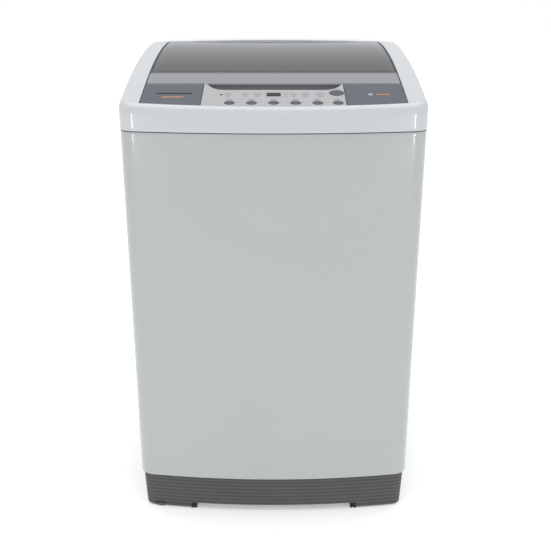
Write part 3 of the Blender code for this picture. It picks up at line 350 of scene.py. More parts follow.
def soften(profile, radius, steps=3):
    """The same closed profile with each corner rounded by up to radius."""
    out = []
    count = len(profile)
    for i in range(count):
        before, at, after = (Vector(profile[k % count]) for k in (i - 1, i, i + 1))
        a, b = before - at, after - at
        if a.length < 1e-7 or b.length < 1e-7 or abs(a.normalized().cross(b.normalized())) < 0.05:
            out.append(tuple(at))
            continue
        reach = min(radius, a.length * 0.45, b.length * 0.45)
        start, stop = at + a.normalized() * reach, at + b.normalized() * reach
        for k in range(steps + 1):
            t = k / steps
            out.append(tuple(start * (1 - t) ** 2 + at * 2 * t * (1 - t) + stop * t * t))
    return out


def block(bm, low, high, bevel=0.0, segments=2, matrix=None):
    """A box with rounded edges."""
    size = [b - a for a, b in zip(low, high)]
    middle = [(a + b) / 2 for a, b in zip(low, high)]
    made = bmesh.ops.create_cube(bm, size=1.0, matrix=Matrix.Translation(middle) @ Matrix.Diagonal((*size,
                                                                                                    1.0)))
    verts = made["verts"]
    if bevel:
        edges = list({edge for vert in verts for edge in vert.link_edges})
        result = bmesh.ops.bevel(bm, geom=edges, offset=bevel, segments=segments, affect="EDGES", profile=0.5)
        verts = list({vert for vert in result["verts"]} | {v for v in verts if v.is_valid})
    if matrix is not None:
        bmesh.ops.transform(bm, matrix=matrix, verts=verts)
    return verts


def blocks_round(bm, angles, low, high, bevel, segments=2):
    """The same block at each angle about the Z axis."""
    for angle in angles:
        block(bm, low, high, bevel, segments, Matrix.Rotation(angle, 4, "Z"))


def rod(bm, start, stop, radius, facets=16, bevel=0.0, end_radius=None):
    """A round bar between two points, with its ends chamfered by bevel."""
    axis = Vector(stop) - Vector(start)
    turn = axis.to_track_quat("Z", "Y").to_matrix().to_4x4()
    end = radius if end_radius is None else end_radius
    profile = [(radius - bevel, 0), (radius, bevel), (end, axis.length - bevel), (end - bevel, axis.length)]
    rings = []
    for r, h in profile:
        rings.append([turn @ Vector(point) + Vector(start) for point in ring_at(r, h, facets)])
    loft(bm, rings, cap_start=True, cap_end=True)


def tube(bm, points, radius, facets, ribs=0.0, rib_every=1):
    """A round tube along points. ribs swells every so many rings, for a corrugated hose."""
    points = [Vector(p) for p in points]
    rings = []
    normal = None
    for i, point in enumerate(points):
        ahead = points[min(i + 1, len(points) - 1)] - points[max(i - 1, 0)]
        ahead.normalize()
        if normal is None:
            normal = ahead.orthogonal().normalized()
        normal = (normal - ahead * normal.dot(ahead)).normalized()
        side = ahead.cross(normal)
        reach = radius + (ribs if i % rib_every == 0 else 0.0)
        rings.append([point + (normal * cos(a) + side * sin(a)) * reach for a in turns(facets)])
    loft(bm, rings, cap_start=True, cap_end=True)


def smooth_path(points, count):
    """Points along a Catmull-Rom curve through the given ones."""
    points = [Vector(p) for p in points]
    padded = [points[0] * 2 - points[1], *points, points[-1] * 2 - points[-2]]
    out = []
    for k in range(count):
        t = k / (count - 1) * (len(points) - 1)
        i = min(int(t), len(points) - 2)
        t -= i
        a, b, c, d = padded[i:i + 4]
        bend, twist = 2 * a - 5 * b + 4 * c - d, 3 * b - a - 3 * c + d
        out.append(0.5 * (2 * b + (c - a) * t + bend * t * t + twist * t ** 3))
    return out


def slab(bm, columns, thickness, round_edge):
    """A closed sheet under a grid of points, straight down by thickness, with its rim rounded outwards."""
    wide, long = len(columns), len(columns[0])

    def grid(drop):
        return [[bm.verts.new(Vector(p) - Vector((0, 0, drop))) for p in column] for column in columns]

    def rim(rows):
        right = [rows[-1][j] for j in range(1, long)]
        back = [rows[i][-1] for i in range(wide - 2, -1, -1)]
        left = [rows[0][j] for j in range(long - 2, 0, -1)]
        return [rows[i][0] for i in range(wide)] + right + back + left

    top, bottom = grid(0), grid(thickness)
    for a, b in zip(top, top[1:]):
        for j in range(long - 1):
            bm.faces.new((a[j], b[j], b[j + 1], a[j + 1]))
    for a, b in zip(bottom, bottom[1:]):
        for j in range(long - 1):
            bm.faces.new((a[j + 1], b[j + 1], b[j], a[j]))
    edge = [Vector(v.co) for v in rim(top)]
    rings = [rim(top)]
    round_edge = min(round_edge, thickness * 0.49)
    for centre, angles in ((round_edge, spread(0, pi / 2, 4)[1:]), (thickness - round_edge,
                                                                    spread(pi / 2, pi, 4)[:-1])):
        for angle in angles:
            ring = []
            for i, p in enumerate(edge):
                along = edge[(i + 1) % len(edge)] - edge[i - 1]
                out = Vector((along.y, -along.x, 0)).normalized() * round_edge * sin(angle)
                ring.append(bm.verts.new(p + out - Vector((0, 0, centre - round_edge * cos(angle)))))
            rings.append(ring)
    rings.append(rim(bottom))
    for a, b in zip(rings, rings[1:]):
        for i in range(len(a)):
            j = (i + 1) % len(a)
            bm.faces.new((a[i], b[i], b[j], a[j]))


def prism(bm, outline, low, high, bevel=0.0):
    """A flat plate with the given outline, and a chamfer of bevel round its upper and lower edges."""
    centre = sum((Vector(p) for p in outline), Vector((0, 0))) / len(outline)
    shrunk = [Vector(p) + (centre - Vector(p)).normalized() * bevel for p in outline]
    rings = [at_height(outline, low + bevel), at_height(outline, high - bevel)]
    if bevel:
        rings = [at_height(shrunk, low), *rings, at_height(shrunk, high)]
    loft(bm, rings, cap_start=True, cap_end=True)


def plate_with_holes(name, outlines, low, high, *rest, **more):
    """A flat plate whose first outline is its edge, and whose others are holes in it."""
    curve = bpy.data.curves.new(name, "CURVE")
    curve.dimensions = "2D"
    curve.fill_mode = "BOTH"
    curve.extrude = (high - low) / 2
    for outline in outlines:
        spline = curve.splines.new("POLY")
        spline.points.add(len(outline) - 1)
        for point, (x, y) in zip(spline.points, outline):
            point.co = (x, y, 0, 1)
        spline.use_cyclic_u = True
    obj = bpy.data.objects.new(name, curve)
    bpy.context.scene.collection.objects.link(obj)
    bpy.context.view_layer.update()
    bm = bmesh.new()
    bm.from_mesh(bpy.data.meshes.new_from_object(obj.evaluated_get(bpy.context.evaluated_depsgraph_get())))
    bmesh.ops.translate(bm, vec=(0, 0, (low + high) / 2), verts=bm.verts)
    bpy.data.objects.remove(obj)
    return piece(name, bm, *rest, **more)


def screw_heads(bm, places, radius=0.0038, height=0.002, normal="-Z"):
    """Pan-head screws with a cross slot, facing along the given axis."""
    facing = {"Z": Matrix.Identity(4), "Y": Matrix.Rotation(-pi / 2, 4, "X"),
              "-Z": Matrix.Rotation(pi, 4, "X")}
    for place in places:
        where = Matrix.Translation(place) @ facing[normal]
        rings = []
        for r, h in ((1.0, 0), (1.0, 0.35), (0.92, 0.7), (0.72, 0.93), (0.5, 1.0)):
            rings.append([where @ Vector((x, y, h * height)) for x, y, _ in ring_at(radius * r, 0, 20)])
        for reach, h in ((0.48, 0.995), (0.44, 0.55)):
            arms = (1.0, 0.62, 0.4, 0.4, 0.62) * 4
            rings.append([where @ Vector((radius * reach * arm * cos(a), radius * reach * arm * sin(a),
                                          h * height)) for a, arm in zip(turns(20), arms)])
        loft(bm, rings, cap_start=True, cap_end=True)


def arc(cx, cy, radius, start, stop, count):
    """Points on a circle. An angle of 0 points at -Y, and a quarter turn at +X."""
    return [(cx + radius * sin(a), cy - radius * cos(a)) for a in spread(start, stop, count)]


def body_outline(inset=0.0, front=22, corner=14, side=16):
    """The machine's plan: a bowed front, round corners and a straight back, moved inwards by inset."""
    half = HALF - inset
    radius = CORNER_R - inset
    rear_radius = REAR_CORNER_R - inset
    across = HALF - CORNER_R
    bow_r = (across**2 + BOW**2) / (2 * BOW) - inset
    bow_y = FRONT_Y + inset + bow_r
    corner_x = half - radius
    corner_y = bow_y - sqrt((bow_r - radius) ** 2 - corner_x**2)
    lean_in = asin(corner_x / (bow_r - radius))
    rear_y = BACK_Y - inset - rear_radius
    right = arc(0, bow_y, bow_r, 0, lean_in, front)
    right += arc(corner_x, corner_y, radius, lean_in, pi / 2, corner)[1:]
    right += [(half, y) for y in spread(corner_y, rear_y, side)[1:]]
    right += arc(half - rear_radius, rear_y, rear_radius, pi / 2, pi, corner)[1:]
    right += [(x, BACK_Y - inset) for x in spread(half - rear_radius, 0, 7)[1:]]
    return right + [(-x, y) for x, y in right[-2:0:-1]]


def opening_outline(half, front_y, back_y, radius, bow=0.0, front=22, corner=14, side=16):
    """A rounded rectangle with as many points, in the same order, as body_outline."""
    right = [(x, front_y + bow * (x / half) ** 2) for x in spread(0, half - radius, front)]
    start_y = right[-1][1] + radius
    right += arc(half - radius, start_y, radius, 0, pi / 2, corner)[1:]
    right += [(half, y) for y in spread(start_y, back_y - radius, side)[1:]]
    right += arc(half - radius, back_y - radius, radius, pi / 2, pi, corner)[1:]
    right += [(x, back_y) for x in spread(half - radius, 0, 7)[1:]]
    return right + [(-x, y) for x, y in right[-2:0:-1]]


def mix(first, second, share):
    """The outline that lies this share of the way from the first to the second."""
    return [(a[0] + (b[0] - a[0]) * share, a[1] + (b[1] - a[1]) * share) for a, b in zip(first, second)]


def at_height(outline, z):
    return [(p[0], p[1], z) for p in outline]


def on_crown(outline, drop=0.0):
    """Lifts an outline to the top's skin, with its low step behind the lid."""
    points = []
    for x, y in outline:
        climb = min(max((y - LID_BACK_Y - LEDGE_RUN) / 0.0025, 0), 1)
        step = max(LEDGE_Z - ledge_fall(x) - crown(y), 0)
        points.append((x, y, crown(y) + climb * step - drop))
    return points


def mouth_outline(grow=0.0, squareness=2.6):
    """The rounded mouth over the basket, with its points at the same angles as the deck's outline."""
    cx, cy, half_x, half_y = MOUTH
    points = []
    for x, y in opening_outline(0.205, -0.135, 0.212, 0.03):
        dx, dy = (x - cx) / (half_x + grow), (y - cy) / (half_y + grow)
        reach = (abs(dx) ** squareness + abs(dy) ** squareness) ** (1 / squareness)
        points.append((cx + (x - cx) / reach, cy + (y - cy) / reach))
    return points


def cut(obj, cutter):
    """Takes the cutter's shape out of obj, and removes the cutter."""
    modifier = obj.modifiers.new("cut", "BOOLEAN")
    modifier.object = cutter
    modifier.operation = "DIFFERENCE"
    modifier.solver = "EXACT"
    bpy.context.view_layer.update()
    mesh = bpy.data.meshes.new_from_object(obj.evaluated_get(bpy.context.evaluated_depsgraph_get()))
    obj.modifiers.remove(modifier)
    old = obj.data
    obj.data = mesh
    bpy.data.meshes.remove(old)
    bpy.data.objects.remove(cutter)
    obj.data.set_sharp_from_angle(angle=radians(32))


def cutter_of(bm):
    """The mesh as an object that cut can take away."""
    bmesh.ops.recalc_face_normals(bm, faces=bm.faces)
    mesh = bpy.data.meshes.new("cutter")
    bm.to_mesh(mesh)
    bm.free()
    obj = bpy.data.objects.new("cutter", mesh)
    bpy.context.scene.collection.objects.link(obj)
    return obj


def cut_box(obj, low, high, bevel=0.0):
    """Cuts a box out of obj."""
    bm = bmesh.new()
    block(bm, low, high, bevel)
    cut(obj, cutter_of(bm))


def cut_rods(obj, rods, facets=32):
    """Drills round holes, given as (start, stop, radius), that don't meet each other."""
    bm = bmesh.new()
    for start, stop, radius in rods:
        rod(bm, start, stop, radius, facets)
    cut(obj, cutter_of(bm))


# ---------------------------------------------------------------- casing
def make_cabinet():
    """The painted wrap. Its bottom edge is rolled in, and its top edge turns in under the cover."""
    sheet = 0.0012
    low, high = CAB_LOW.z, CAB_HIGH.z
    skin = HALF - CAB_HIGH.x
    outer = [(skin + 0.01, high), (skin + 0.0014, high), (skin + 0.0004, high - 0.0004),
             (skin, high - 0.0014)]
    outer += [(skin, z) for z in spread(high - 0.006, low + 0.008, 7)]
    outer += [(skin + 0.002 * (1 - cos(a)), low + 0.002 * (1 - sin(a))) for a in spread(0, pi / 2, 5)]
    outer.append((skin + 0.006, low))
    inner = [(skin + 0.006, low + sheet), (skin + 0.0022, low + sheet), (skin + sheet, low + 0.0025)]
    inner += [(skin + sheet, z) for z in spread(low + 0.01, high - 0.008, 4)]
    inner += [(skin + sheet, high - 0.0028), (skin + 0.0024, high - sheet), (skin + 0.01, high - sheet)]
    bm = bmesh.new()
    loft(bm, [at_height(body_outline(inset), z) for inset, z in outer + inner], loop=True)
    shell = piece("cabinet_shell", bm, ENAMEL, "cabinet", "enamel", ["cabinet"])
    cut_box(shell, (-0.175, BACK_Y - 0.02, 0.13), (0.175, BACK_Y + 0.02, 0.56))
    cut_rods(shell, [((at.x, BACK_Y - 0.02, at.z), (at.x, BACK_Y + 0.02, at.z), radius)
                     for at, radius in ((OUTLET, 0.0108), (GLAND, 0.0088))])
    bm = bmesh.new()
    for _, _, side_x, side_y in CORNERS:
        inner_x, inner_y = 0.176, 0.16
        edge = [(x, y) for x, y in body_outline(0.0022) if side_x * x > inner_x and side_y * y > inner_y]
        edge.sort(key=lambda p: atan((side_y * p[1] - inner_y) / (side_x * p[0] - inner_x + 1e-9)))
        first, last = edge[0], edge[-1]
        outline = [(side_x * inner_x, side_y * inner_y), (first[0], side_y * inner_y), *edge,
                   (side_x * inner_x, last[1])]
        prism(bm, outline, 0.752, 0.755, 0.0004)
    gussets = piece("corner_gussets", bm, ZINC, "cabinet", "zinc_steel")
    cut_rods(gussets, [((x * HANGER_X, y * HANGER_Y, 0.74), (x * HANGER_X, y * HANGER_Y, 0.77), 0.0052) for _,
                       _, x, y in CORNERS])


def rounded_panel(half_x, low_z, high_z, radius, y, count=7):
    """A rounded rectangle that faces the back."""
    points = []
    for cx, cz, start in ((half_x, high_z, 0), (-half_x, high_z, 1), (-half_x, low_z, 2), (half_x, low_z, 3)):
        x = cx - radius if cx > 0 else cx + radius
        z = cz - radius if cz == high_z else cz + radius
        points += [(x + radius * cos(a), y, z + radius * sin(a)) for a in spread(start * pi / 2,
                                                                                 (start + 1) * pi / 2, count)]
    return points


def make_rear_cover():
    """The plate screwed over the service opening, with a raised field, two pressed beads and its screws."""
    y = BACK_Y
    bm = bmesh.new()
    steps = ((0.15, 0.16, 0.53, 0.01, -0.0005), (0.1892, 0.1158, 0.5742, 0.0052, -0.0005),
             (0.19, 0.115, 0.575, 0.006, 0.0), (0.1896, 0.1154, 0.5746, 0.0056, 0.0005),
             (0.164, 0.146, 0.544, 0.014, 0.0005), (0.1622, 0.1478, 0.5422, 0.0126, 0.0009),
             (0.1598, 0.1502, 0.5398, 0.011, 0.002), (0.158, 0.152, 0.538, 0.01, 0.0022),
             (0.13, 0.18, 0.51, 0.008, 0.0022), (0.129, 0.181, 0.509, 0.008, 0.001),
             (0.121, 0.189, 0.501, 0.008, 0.001), (0.12, 0.19, 0.5, 0.008, 0.0022))
    rings = [rounded_panel(half_x, low, high, radius, y + out) for half_x, low, high, radius, out in steps]
    loft(bm, rings, cap_start=True, cap_end=True)
    piece("rear_cover_plate", bm, ENAMEL, "cabinet", "enamel", ["rear_cover"])
    places = [(x, y + 0.0006, z) for x in (-0.177, 0.177) for z in (0.128, 0.345, 0.562)]
    places += [(x, y + 0.0006, z) for x in (-0.07, 0.07) for z in (0.128, 0.562)]
    bm = bmesh.new()
    screw_heads(bm, places, normal="Y")
    piece("rear_cover_screws", bm, ZINC, "cabinet", "zinc_steel")
    bm = bmesh.new()
    for x in spread(-0.06, 0.06, 13):
        block(bm, (x - 0.0014, y + 0.0018, 0.42), (x + 0.0014, y + 0.0026, 0.47), 0.0003, 1)
    piece("rear_vent_slots", bm, MOTOR_BLACK, "cabinet", "enamel")


def make_top_cover():
    """The white moulding: a soft shoulder, a fine bead at the opening, and a wall down to the deck."""
    outside, shoulder = body_outline(), body_outline(SHOULDER_IN)
    hole = opening_outline(PANEL_HALF + 0.0012, PANEL_FRONT_Y - 0.0012, LID_BACK_Y + 0.0045, 0.0034,
                           PANEL_BOW)
    rings = [at_height(body_outline(0.0026), SEAM_Z + 0.001), at_height(body_outline(0.0012), SEAM_Z),
             at_height(body_outline(0.0003), SEAM_Z + 0.0004), at_height(outside, SEAM_Z + 0.0014)]
    for share in (0.12, 0.4, 0.7):
        rings.append([(x, y, SEAM_Z + 0.0014 + (z - SEAM_Z - 0.0014) * share) for x, y,
                      z in on_crown(outside, SHOULDER_DROP)])
    for angle in spread(0, pi / 2, 12):
        ring = body_outline(SHOULDER_IN * (1 - cos(angle) ** (2 / SHOULDER_POWER)))
        rings.append(on_crown(ring, SHOULDER_DROP * (1 - sin(angle) ** (2 / SHOULDER_POWER))))
    for share, drop in ((0.35, 0), (0.7, 0), (0.93, 0), (0.955, -0.0002), (0.975, -0.0003), (0.99, -0.0001)):
        rings.append(on_crown(mix(shoulder, hole, share), drop))
    rings.append(on_crown(hole, 0.0009))
    rings.append([(x, y, (crown(y) + DECK_Z) / 2) for x, y in hole])
    rings.append(at_height(hole, DECK_Z + 0.0006))
    wall = mix(hole, outside, 0.16)
    rings.append(at_height(wall, DECK_Z + 0.0006))
    rings.append([(x, y, crown(y) - 0.0048) for x, y in wall])
    rings.append([(x, y, crown(y) - 0.005) for x, y in mix(shoulder, hole, 0.3)])
    rings.append([(x, y, crown(y) - SHOULDER_DROP - 0.001) for x, y in body_outline(0.003)])
    rings.append(at_height(body_outline(0.0028), SEAM_Z + 0.003))
    bm = bmesh.new()
    loft(bm, rings, loop=True)
    cover = piece("top_cover_moulding", bm, WHITE, "cabinet", "white_plastic", ["top_cover"], smooth=40)
    bores = [((INLET.x, BACK_Y - 0.012, INLET.z), (INLET.x, BACK_Y + 0.02, INLET.z), 0.0145)]
    bores += [((side * 0.2225, HINGE.y, HINGE.z), (side * 0.2345, HINGE.y, HINGE.z), 0.0025)
              for side in (-1, 1)]
    cut_rods(cover, bores)


def make_hinge_cover():
    """The white bar behind the lid, with a round front."""
    bm = bmesh.new()
    xs = spread(-0.2312, 0.2312, 41)
    slab(bm, [[(x, y, cad_box[1][2] - ledge_fall(x) - fall) for y, fall in ((0.2402, 0.0022), (0.241, 0.0013),
                                                                            (0.2422, 0.0006),
                                                                            (0.2438, 0.0002), (0.2475, 0.0),
                                                                            (0.252, 0.0001),
                                                                            (0.2543, 0.0003))] for x in xs],
         0.0014, 0.0004)
    piece("hinge_cover_bar", bm, WHITE_FINE, "cabinet", "white_plastic", ["hinge_cover"])


def make_mouth_deck():
    """The ledge under the lid, which falls to the mouth and its collar."""
    edge = opening_outline(0.2355, -0.1485, 0.24, 0.012)
    flat = opening_outline(0.205, -0.135, 0.212, 0.03)
    lip, lip_z = mouth_outline(0.004), 0.7945
    rings = [at_height(edge, DECK_Z - 0.0024), at_height(edge, DECK_Z - 0.0005),
             at_height(mix(edge, flat, 0.03), DECK_Z), at_height(mix(edge, flat, 0.9), DECK_Z),
             at_height(flat, DECK_Z - 0.0003)]
    rings += [at_height(mix(flat, lip, share), DECK_Z - 0.0003 - (DECK_Z - lip_z) * (1 - cos(share * pi)) / 2)
              for share in (0.15, 0.3, 0.45, 0.6, 0.75, 0.9)]
    rings += [at_height(mouth_outline(0.0022), 0.7936), at_height(mouth_outline(0.0006), 0.7922),
              at_height(mouth_outline(), 0.79), at_height(mouth_outline(-0.0005), 0.778),
              at_height(mouth_outline(-0.001), COLLAR_Z + 0.0012), at_height(mouth_outline(0.0002),
                                                                             COLLAR_Z + 0.0002),
              at_height(mouth_outline(0.0014), COLLAR_Z + 0.001), at_height(mouth_outline(0.0022), 0.786)]
    rings += [at_height(mix(flat, lip, share), DECK_Z - 0.0028 - (DECK_Z - lip_z) * (1 - cos(share * pi)) / 2)
              for share in (0.9, 0.6, 0.3, 0.0)]
    bm = bmesh.new()
    loft(bm, rings, loop=True)
    deck = piece("mouth_deck_moulding", bm, WHITE_FINE, "cabinet", "white_plastic", ["mouth_deck"], smooth=40)
    cut_box(deck, (-0.0585, 0.14, 0.7), (0.0585, 0.2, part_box("detergent_drawer")[1].z + 0.0006))


# ---------------------------------------------------------------- control panel
def panel_front(x, corner=0.0):
    """The panel's bowed front edge, with its outer corners rounded off."""
    past = min(max(abs(x) - PANEL_HALF + corner, 0), corner)
    return PANEL_FRONT_Y + PANEL_BOW * (x / PANEL_HALF) ** 2 + corner - sqrt(corner**2 - past**2)


def scoop_edge(x):
    """The panel's rear edge: it swings back ever more steeply at both ends of the finger scoop."""
    share = min(max((abs(x - SCOOP_X) - SCOOP_HALF + 0.04) / SCOOP_SWING, 0), 1)
    return SCOOP_Y + (PANEL_BACK_Y - SCOOP_Y) * share ** 3.4


def skin_columns(xs, front, back, drop, count, margin):
    """Grid columns on the top's skin, between two edges, kept back from them by margin."""
    columns = []
    for x in xs:
        start, stop = front(x) + margin, back(x) - margin
        columns.append([(x, y, crown(y) - drop) for y in spread(start, stop, count)])
    return columns


def make_panel_housing():
    """The light grey moulding: its middle shows, and its ends carry the dark inserts."""
    edge = 0.0011
    half = INSERT_X - edge
    fine = spread(SCOOP_X + SCOOP_HALF - 0.04, half, 26)
    xs = [-x for x in spread(-SCOOP_X + SCOOP_HALF - 0.04, half, 26)[::-1]] + spread(-0.074, 0.076, 22) + fine
    bm = bmesh.new()
    slab(bm, skin_columns(xs, panel_front, scoop_edge, 0.0002, 18, edge), 0.0058, edge)
    face = piece("panel_middle", bm, PANEL, "cabinet", "panel_grey", ["panel_housing"], smooth=40)
    holes = [(on_panel(x, y, 0.01), on_panel(x, y, -0.01), radius + 0.0007) for _, x, y, radius in BUTTONS]
    cut_rods(face, holes, 48)
    bm = bmesh.new()
    at, turn = Matrix.Translation(on_panel(0, DISPLAY_Y, 0)), Matrix.Rotation(lean(DISPLAY_Y), 4, "X")
    block(bm, (-0.0131, -0.0091, -0.0018), (0.0131, 0.0091, 0.01), 0.0012, 3, at @ turn)
    cut(face, cutter_of(bm))
    bm = bmesh.new()
    xs = spread(-PANEL_HALF + 0.001, PANEL_HALF - 0.001, 60)
    slab(bm, skin_columns(xs, panel_front, lambda x: SCOOP_Y, 0.0062, 8, 0.001), 0.0024, 0.0005)
    for side in (-1, 1):
        inner, outer = sorted((side * (SCOOP_HALF + 0.003), side * (PANEL_HALF - 0.0005)))
        block(bm, (inner, -0.182, DECK_Z + 0.0004), (outer, PANEL_BACK_Y, 0.8335), 0.0006, 1)
    block(bm, (-SCOOP_HALF, -0.182, DECK_Z + 0.0004), (SCOOP_HALF, PANEL_BACK_Y, SCOOP_Z - 0.0014), 0.0006, 1)
    carrier = piece("panel_carrier", bm, PANEL, "cabinet", "panel_grey")
    cut_rods(carrier, [(on_panel(x, y, 0.012), on_panel(x, y, -0.012), radius + 0.0009) for _, x, y,
                       radius in BUTTONS], 48)


def make_scoop():
    """The dark hollow that lets fingers under the lid's front edge."""
    bm = bmesh.new()
    rings = []
    for x in spread(SCOOP_X - SCOOP_HALF + 0.0035, SCOOP_X + SCOOP_HALF - 0.0035, 70):
        y = min(scoop_edge(x), -0.15)
        top = crown(y) - 0.0045
        inner = [(y + 0.0004, top), (y + 0.0006, 0.826), (y + 0.0016, 0.8205), (y + 0.0036, SCOOP_Z + 0.001),
                 (y + 0.006, SCOOP_Z + 0.0003), (PANEL_BACK_Y, SCOOP_Z)]
        outer = [(PANEL_BACK_Y, SCOOP_Z - 0.001), (y + 0.0052, SCOOP_Z - 0.0007),
                 (y + 0.0024, SCOOP_Z + 0.0004), (y + 0.0004, 0.82), (y - 0.0006, 0.8258), (y - 0.0006, top)]
        rings.append([(x, a, b) for a, b in inner + outer])
    loft(bm, rings, cap_start=True, cap_end=True)
    piece("finger_scoop", bm, SCOOP, "cabinet", "panel_grey")


def make_inserts():
    """The dark grey ends of the panel, each with a plain printed accent."""
    edge = 0.0008
    for name, side in (("left", -1), ("right", 1)):
        near, far = INSERT_X + 0.0006 + edge, PANEL_HALF - edge
        xs = sorted(side * x for x in spread(near, far - 0.0045, 22) + spread(far - 0.004, far, 9))
        bm = bmesh.new()
        slab(bm, skin_columns(xs, lambda x: panel_front(x, 0.003), lambda x: PANEL_BACK_Y, 0.0, 16, edge),
             0.0013, edge)
        piece(f"insert_{name}", bm, INSERT, "cabinet", "insert_grey", [f"panel_insert_{name}"], smooth=40)
    bm = bmesh.new()
    printed(bm, -0.1765, -0.2085, 0.019, 0.002)
    printed(bm, 0.1925, -0.1965, 0.0115, 0.0018)
    piece("accent_bars", bm, ORANGE, "cabinet", "insert_grey")
    bm = bmesh.new()
    printed(bm, -0.1745, -0.192, 0.0315, 0.0028)
    piece("accent_shade", bm, MARK_DARK, "cabinet", "insert_grey")
    bm = bmesh.new()
    printed_dot(bm, 0.17, -0.1965, 0.0042)
    piece("accent_dot", bm, PANEL, "cabinet", "insert_grey")


INK_LIFT = 0.00006  # how far printing stands off the skin


def printed(bm, x, y, half_x, half_y):
    """A thin bar of ink that follows the skin."""
    xs = spread(x - half_x, x + half_x, 6)
    ys = spread(y - half_y, y + half_y, 3)
    slab(bm, [[(a, b, crown(b) + INK_LIFT) for b in ys] for a in xs], 0.00008, 0.00003)


def printed_dot(bm, x, y, radius):
    """A round spot of ink that follows the skin."""
    rings = [[(x + a, y + b, crown(y + b) + z) for a, b, _ in ring_at(r, 0, 24)]
             for r, z in ((radius, -0.00002), (radius, INK_LIFT), (radius * 0.9, INK_LIFT + 0.00002))]
    loft(bm, rings, cap_start=True, cap_end=True)


def make_buttons():
    """Round push buttons with a dished face, each in a fine collar, and the marks printed round them."""
    for name, x, y, radius in BUTTONS:
        top, dish = 0.001, 0.0004
        profile = [(0, top - dish), (radius * 0.35, top - dish * 0.9), (radius * 0.62, top - dish * 0.45),
                   (radius * 0.8, top - 0.00003), (radius - 0.0012, top), (radius - 0.0006, top - 0.0002),
                   (radius - 0.0001, top - 0.0007), (radius, top - 0.0014), (radius, -0.0078), (0, -0.008)]
        bm = bmesh.new()
        lathe(bm, profile, 48)
        piece(name + "_cap", bm, BUTTON, name, "button_grey", [name], location=on_panel(x, y, 0),
              tilt=lean(y))
        bm = bmesh.new()
        lathe(bm, soften([(radius + 0.0007, -0.004), (radius + 0.0007, 0.0002), (radius + 0.0017, 0.0002),
                          (radius + 0.0019, -0.0002), (radius + 0.0012, -0.0003), (radius + 0.0012, -0.004)],
                         0.0002), 48)
        piece(name + "_collar", bm, COLLAR, "cabinet", "panel_grey", location=on_panel(x, y, 0), tilt=lean(y))
    bm = bmesh.new()
    dark = bmesh.new()
    for _, x, y, radius in BUTTONS[:6]:
        printed(bm, x, y + radius + 0.0055, 0.006, 0.0005)
        printed(bm, x - 0.001, y + radius + 0.008, 0.004, 0.0005)
        printed_dot(dark, x + 0.0125, y + 0.003, 0.0007)
    printed(bm, BUTTONS[6][1], BUTTONS[6][2] + 0.019, 0.008, 0.0005)
    printed_dot(dark, -0.092, -0.1975, 0.0024)
    for x, half_x in ((-0.08, 0.0065), (-0.05, 0.006), (-0.028, 0.008), (0.022, 0.0035), (0.036, 0.0055),
                      (0.056, 0.007), (0.082, 0.008)):
        for row, y in enumerate((-0.1925, -0.1985, -0.2045)):
            printed(bm, x - 0.001 * (row % 2), y, half_x * (1 - 0.22 * row), 0.0008)
    piece("panel_marks", bm, MARK, "cabinet", "panel_grey")
    piece("panel_dots", dark, MARK_DARK, "cabinet", "panel_grey")


def make_display():
    """The small dark display in its bezel."""
    at, turn = Matrix.Translation(on_panel(0, DISPLAY_Y, 0)), Matrix.Rotation(lean(DISPLAY_Y), 4, "X")
    bm = bmesh.new()
    block(bm, (-0.0122, -0.0082, -0.0015), (0.0122, 0.0082, -0.0001), 0.0004, 2, at @ turn)
    piece("display_glass", bm, DISPLAY, "cabinet", "display_black", ["display_window"])
    bm = bmesh.new()
    rings = []
    for grow, z in ((-0.0004, -0.0013), (-0.0004, 0.0001), (0.0003, 0.0003), (0.001, 0.0001),
                    (0.001, -0.0003), (0.0003, -0.0013)):
        outline = opening_outline(0.0128 + grow, -0.0088 - grow, 0.0088 + grow, 0.0014 + grow, front=4,
                                  corner=6, side=4)
        rings.append([at @ turn @ Vector(p) for p in at_height(outline, z)])
    loft(bm, rings, loop=True)
    piece("display_bezel", bm, COLLAR, "cabinet", "panel_grey")


# ---------------------------------------------------------------- lid
def lid_skin(y):
    return crown(y) - 0.0002


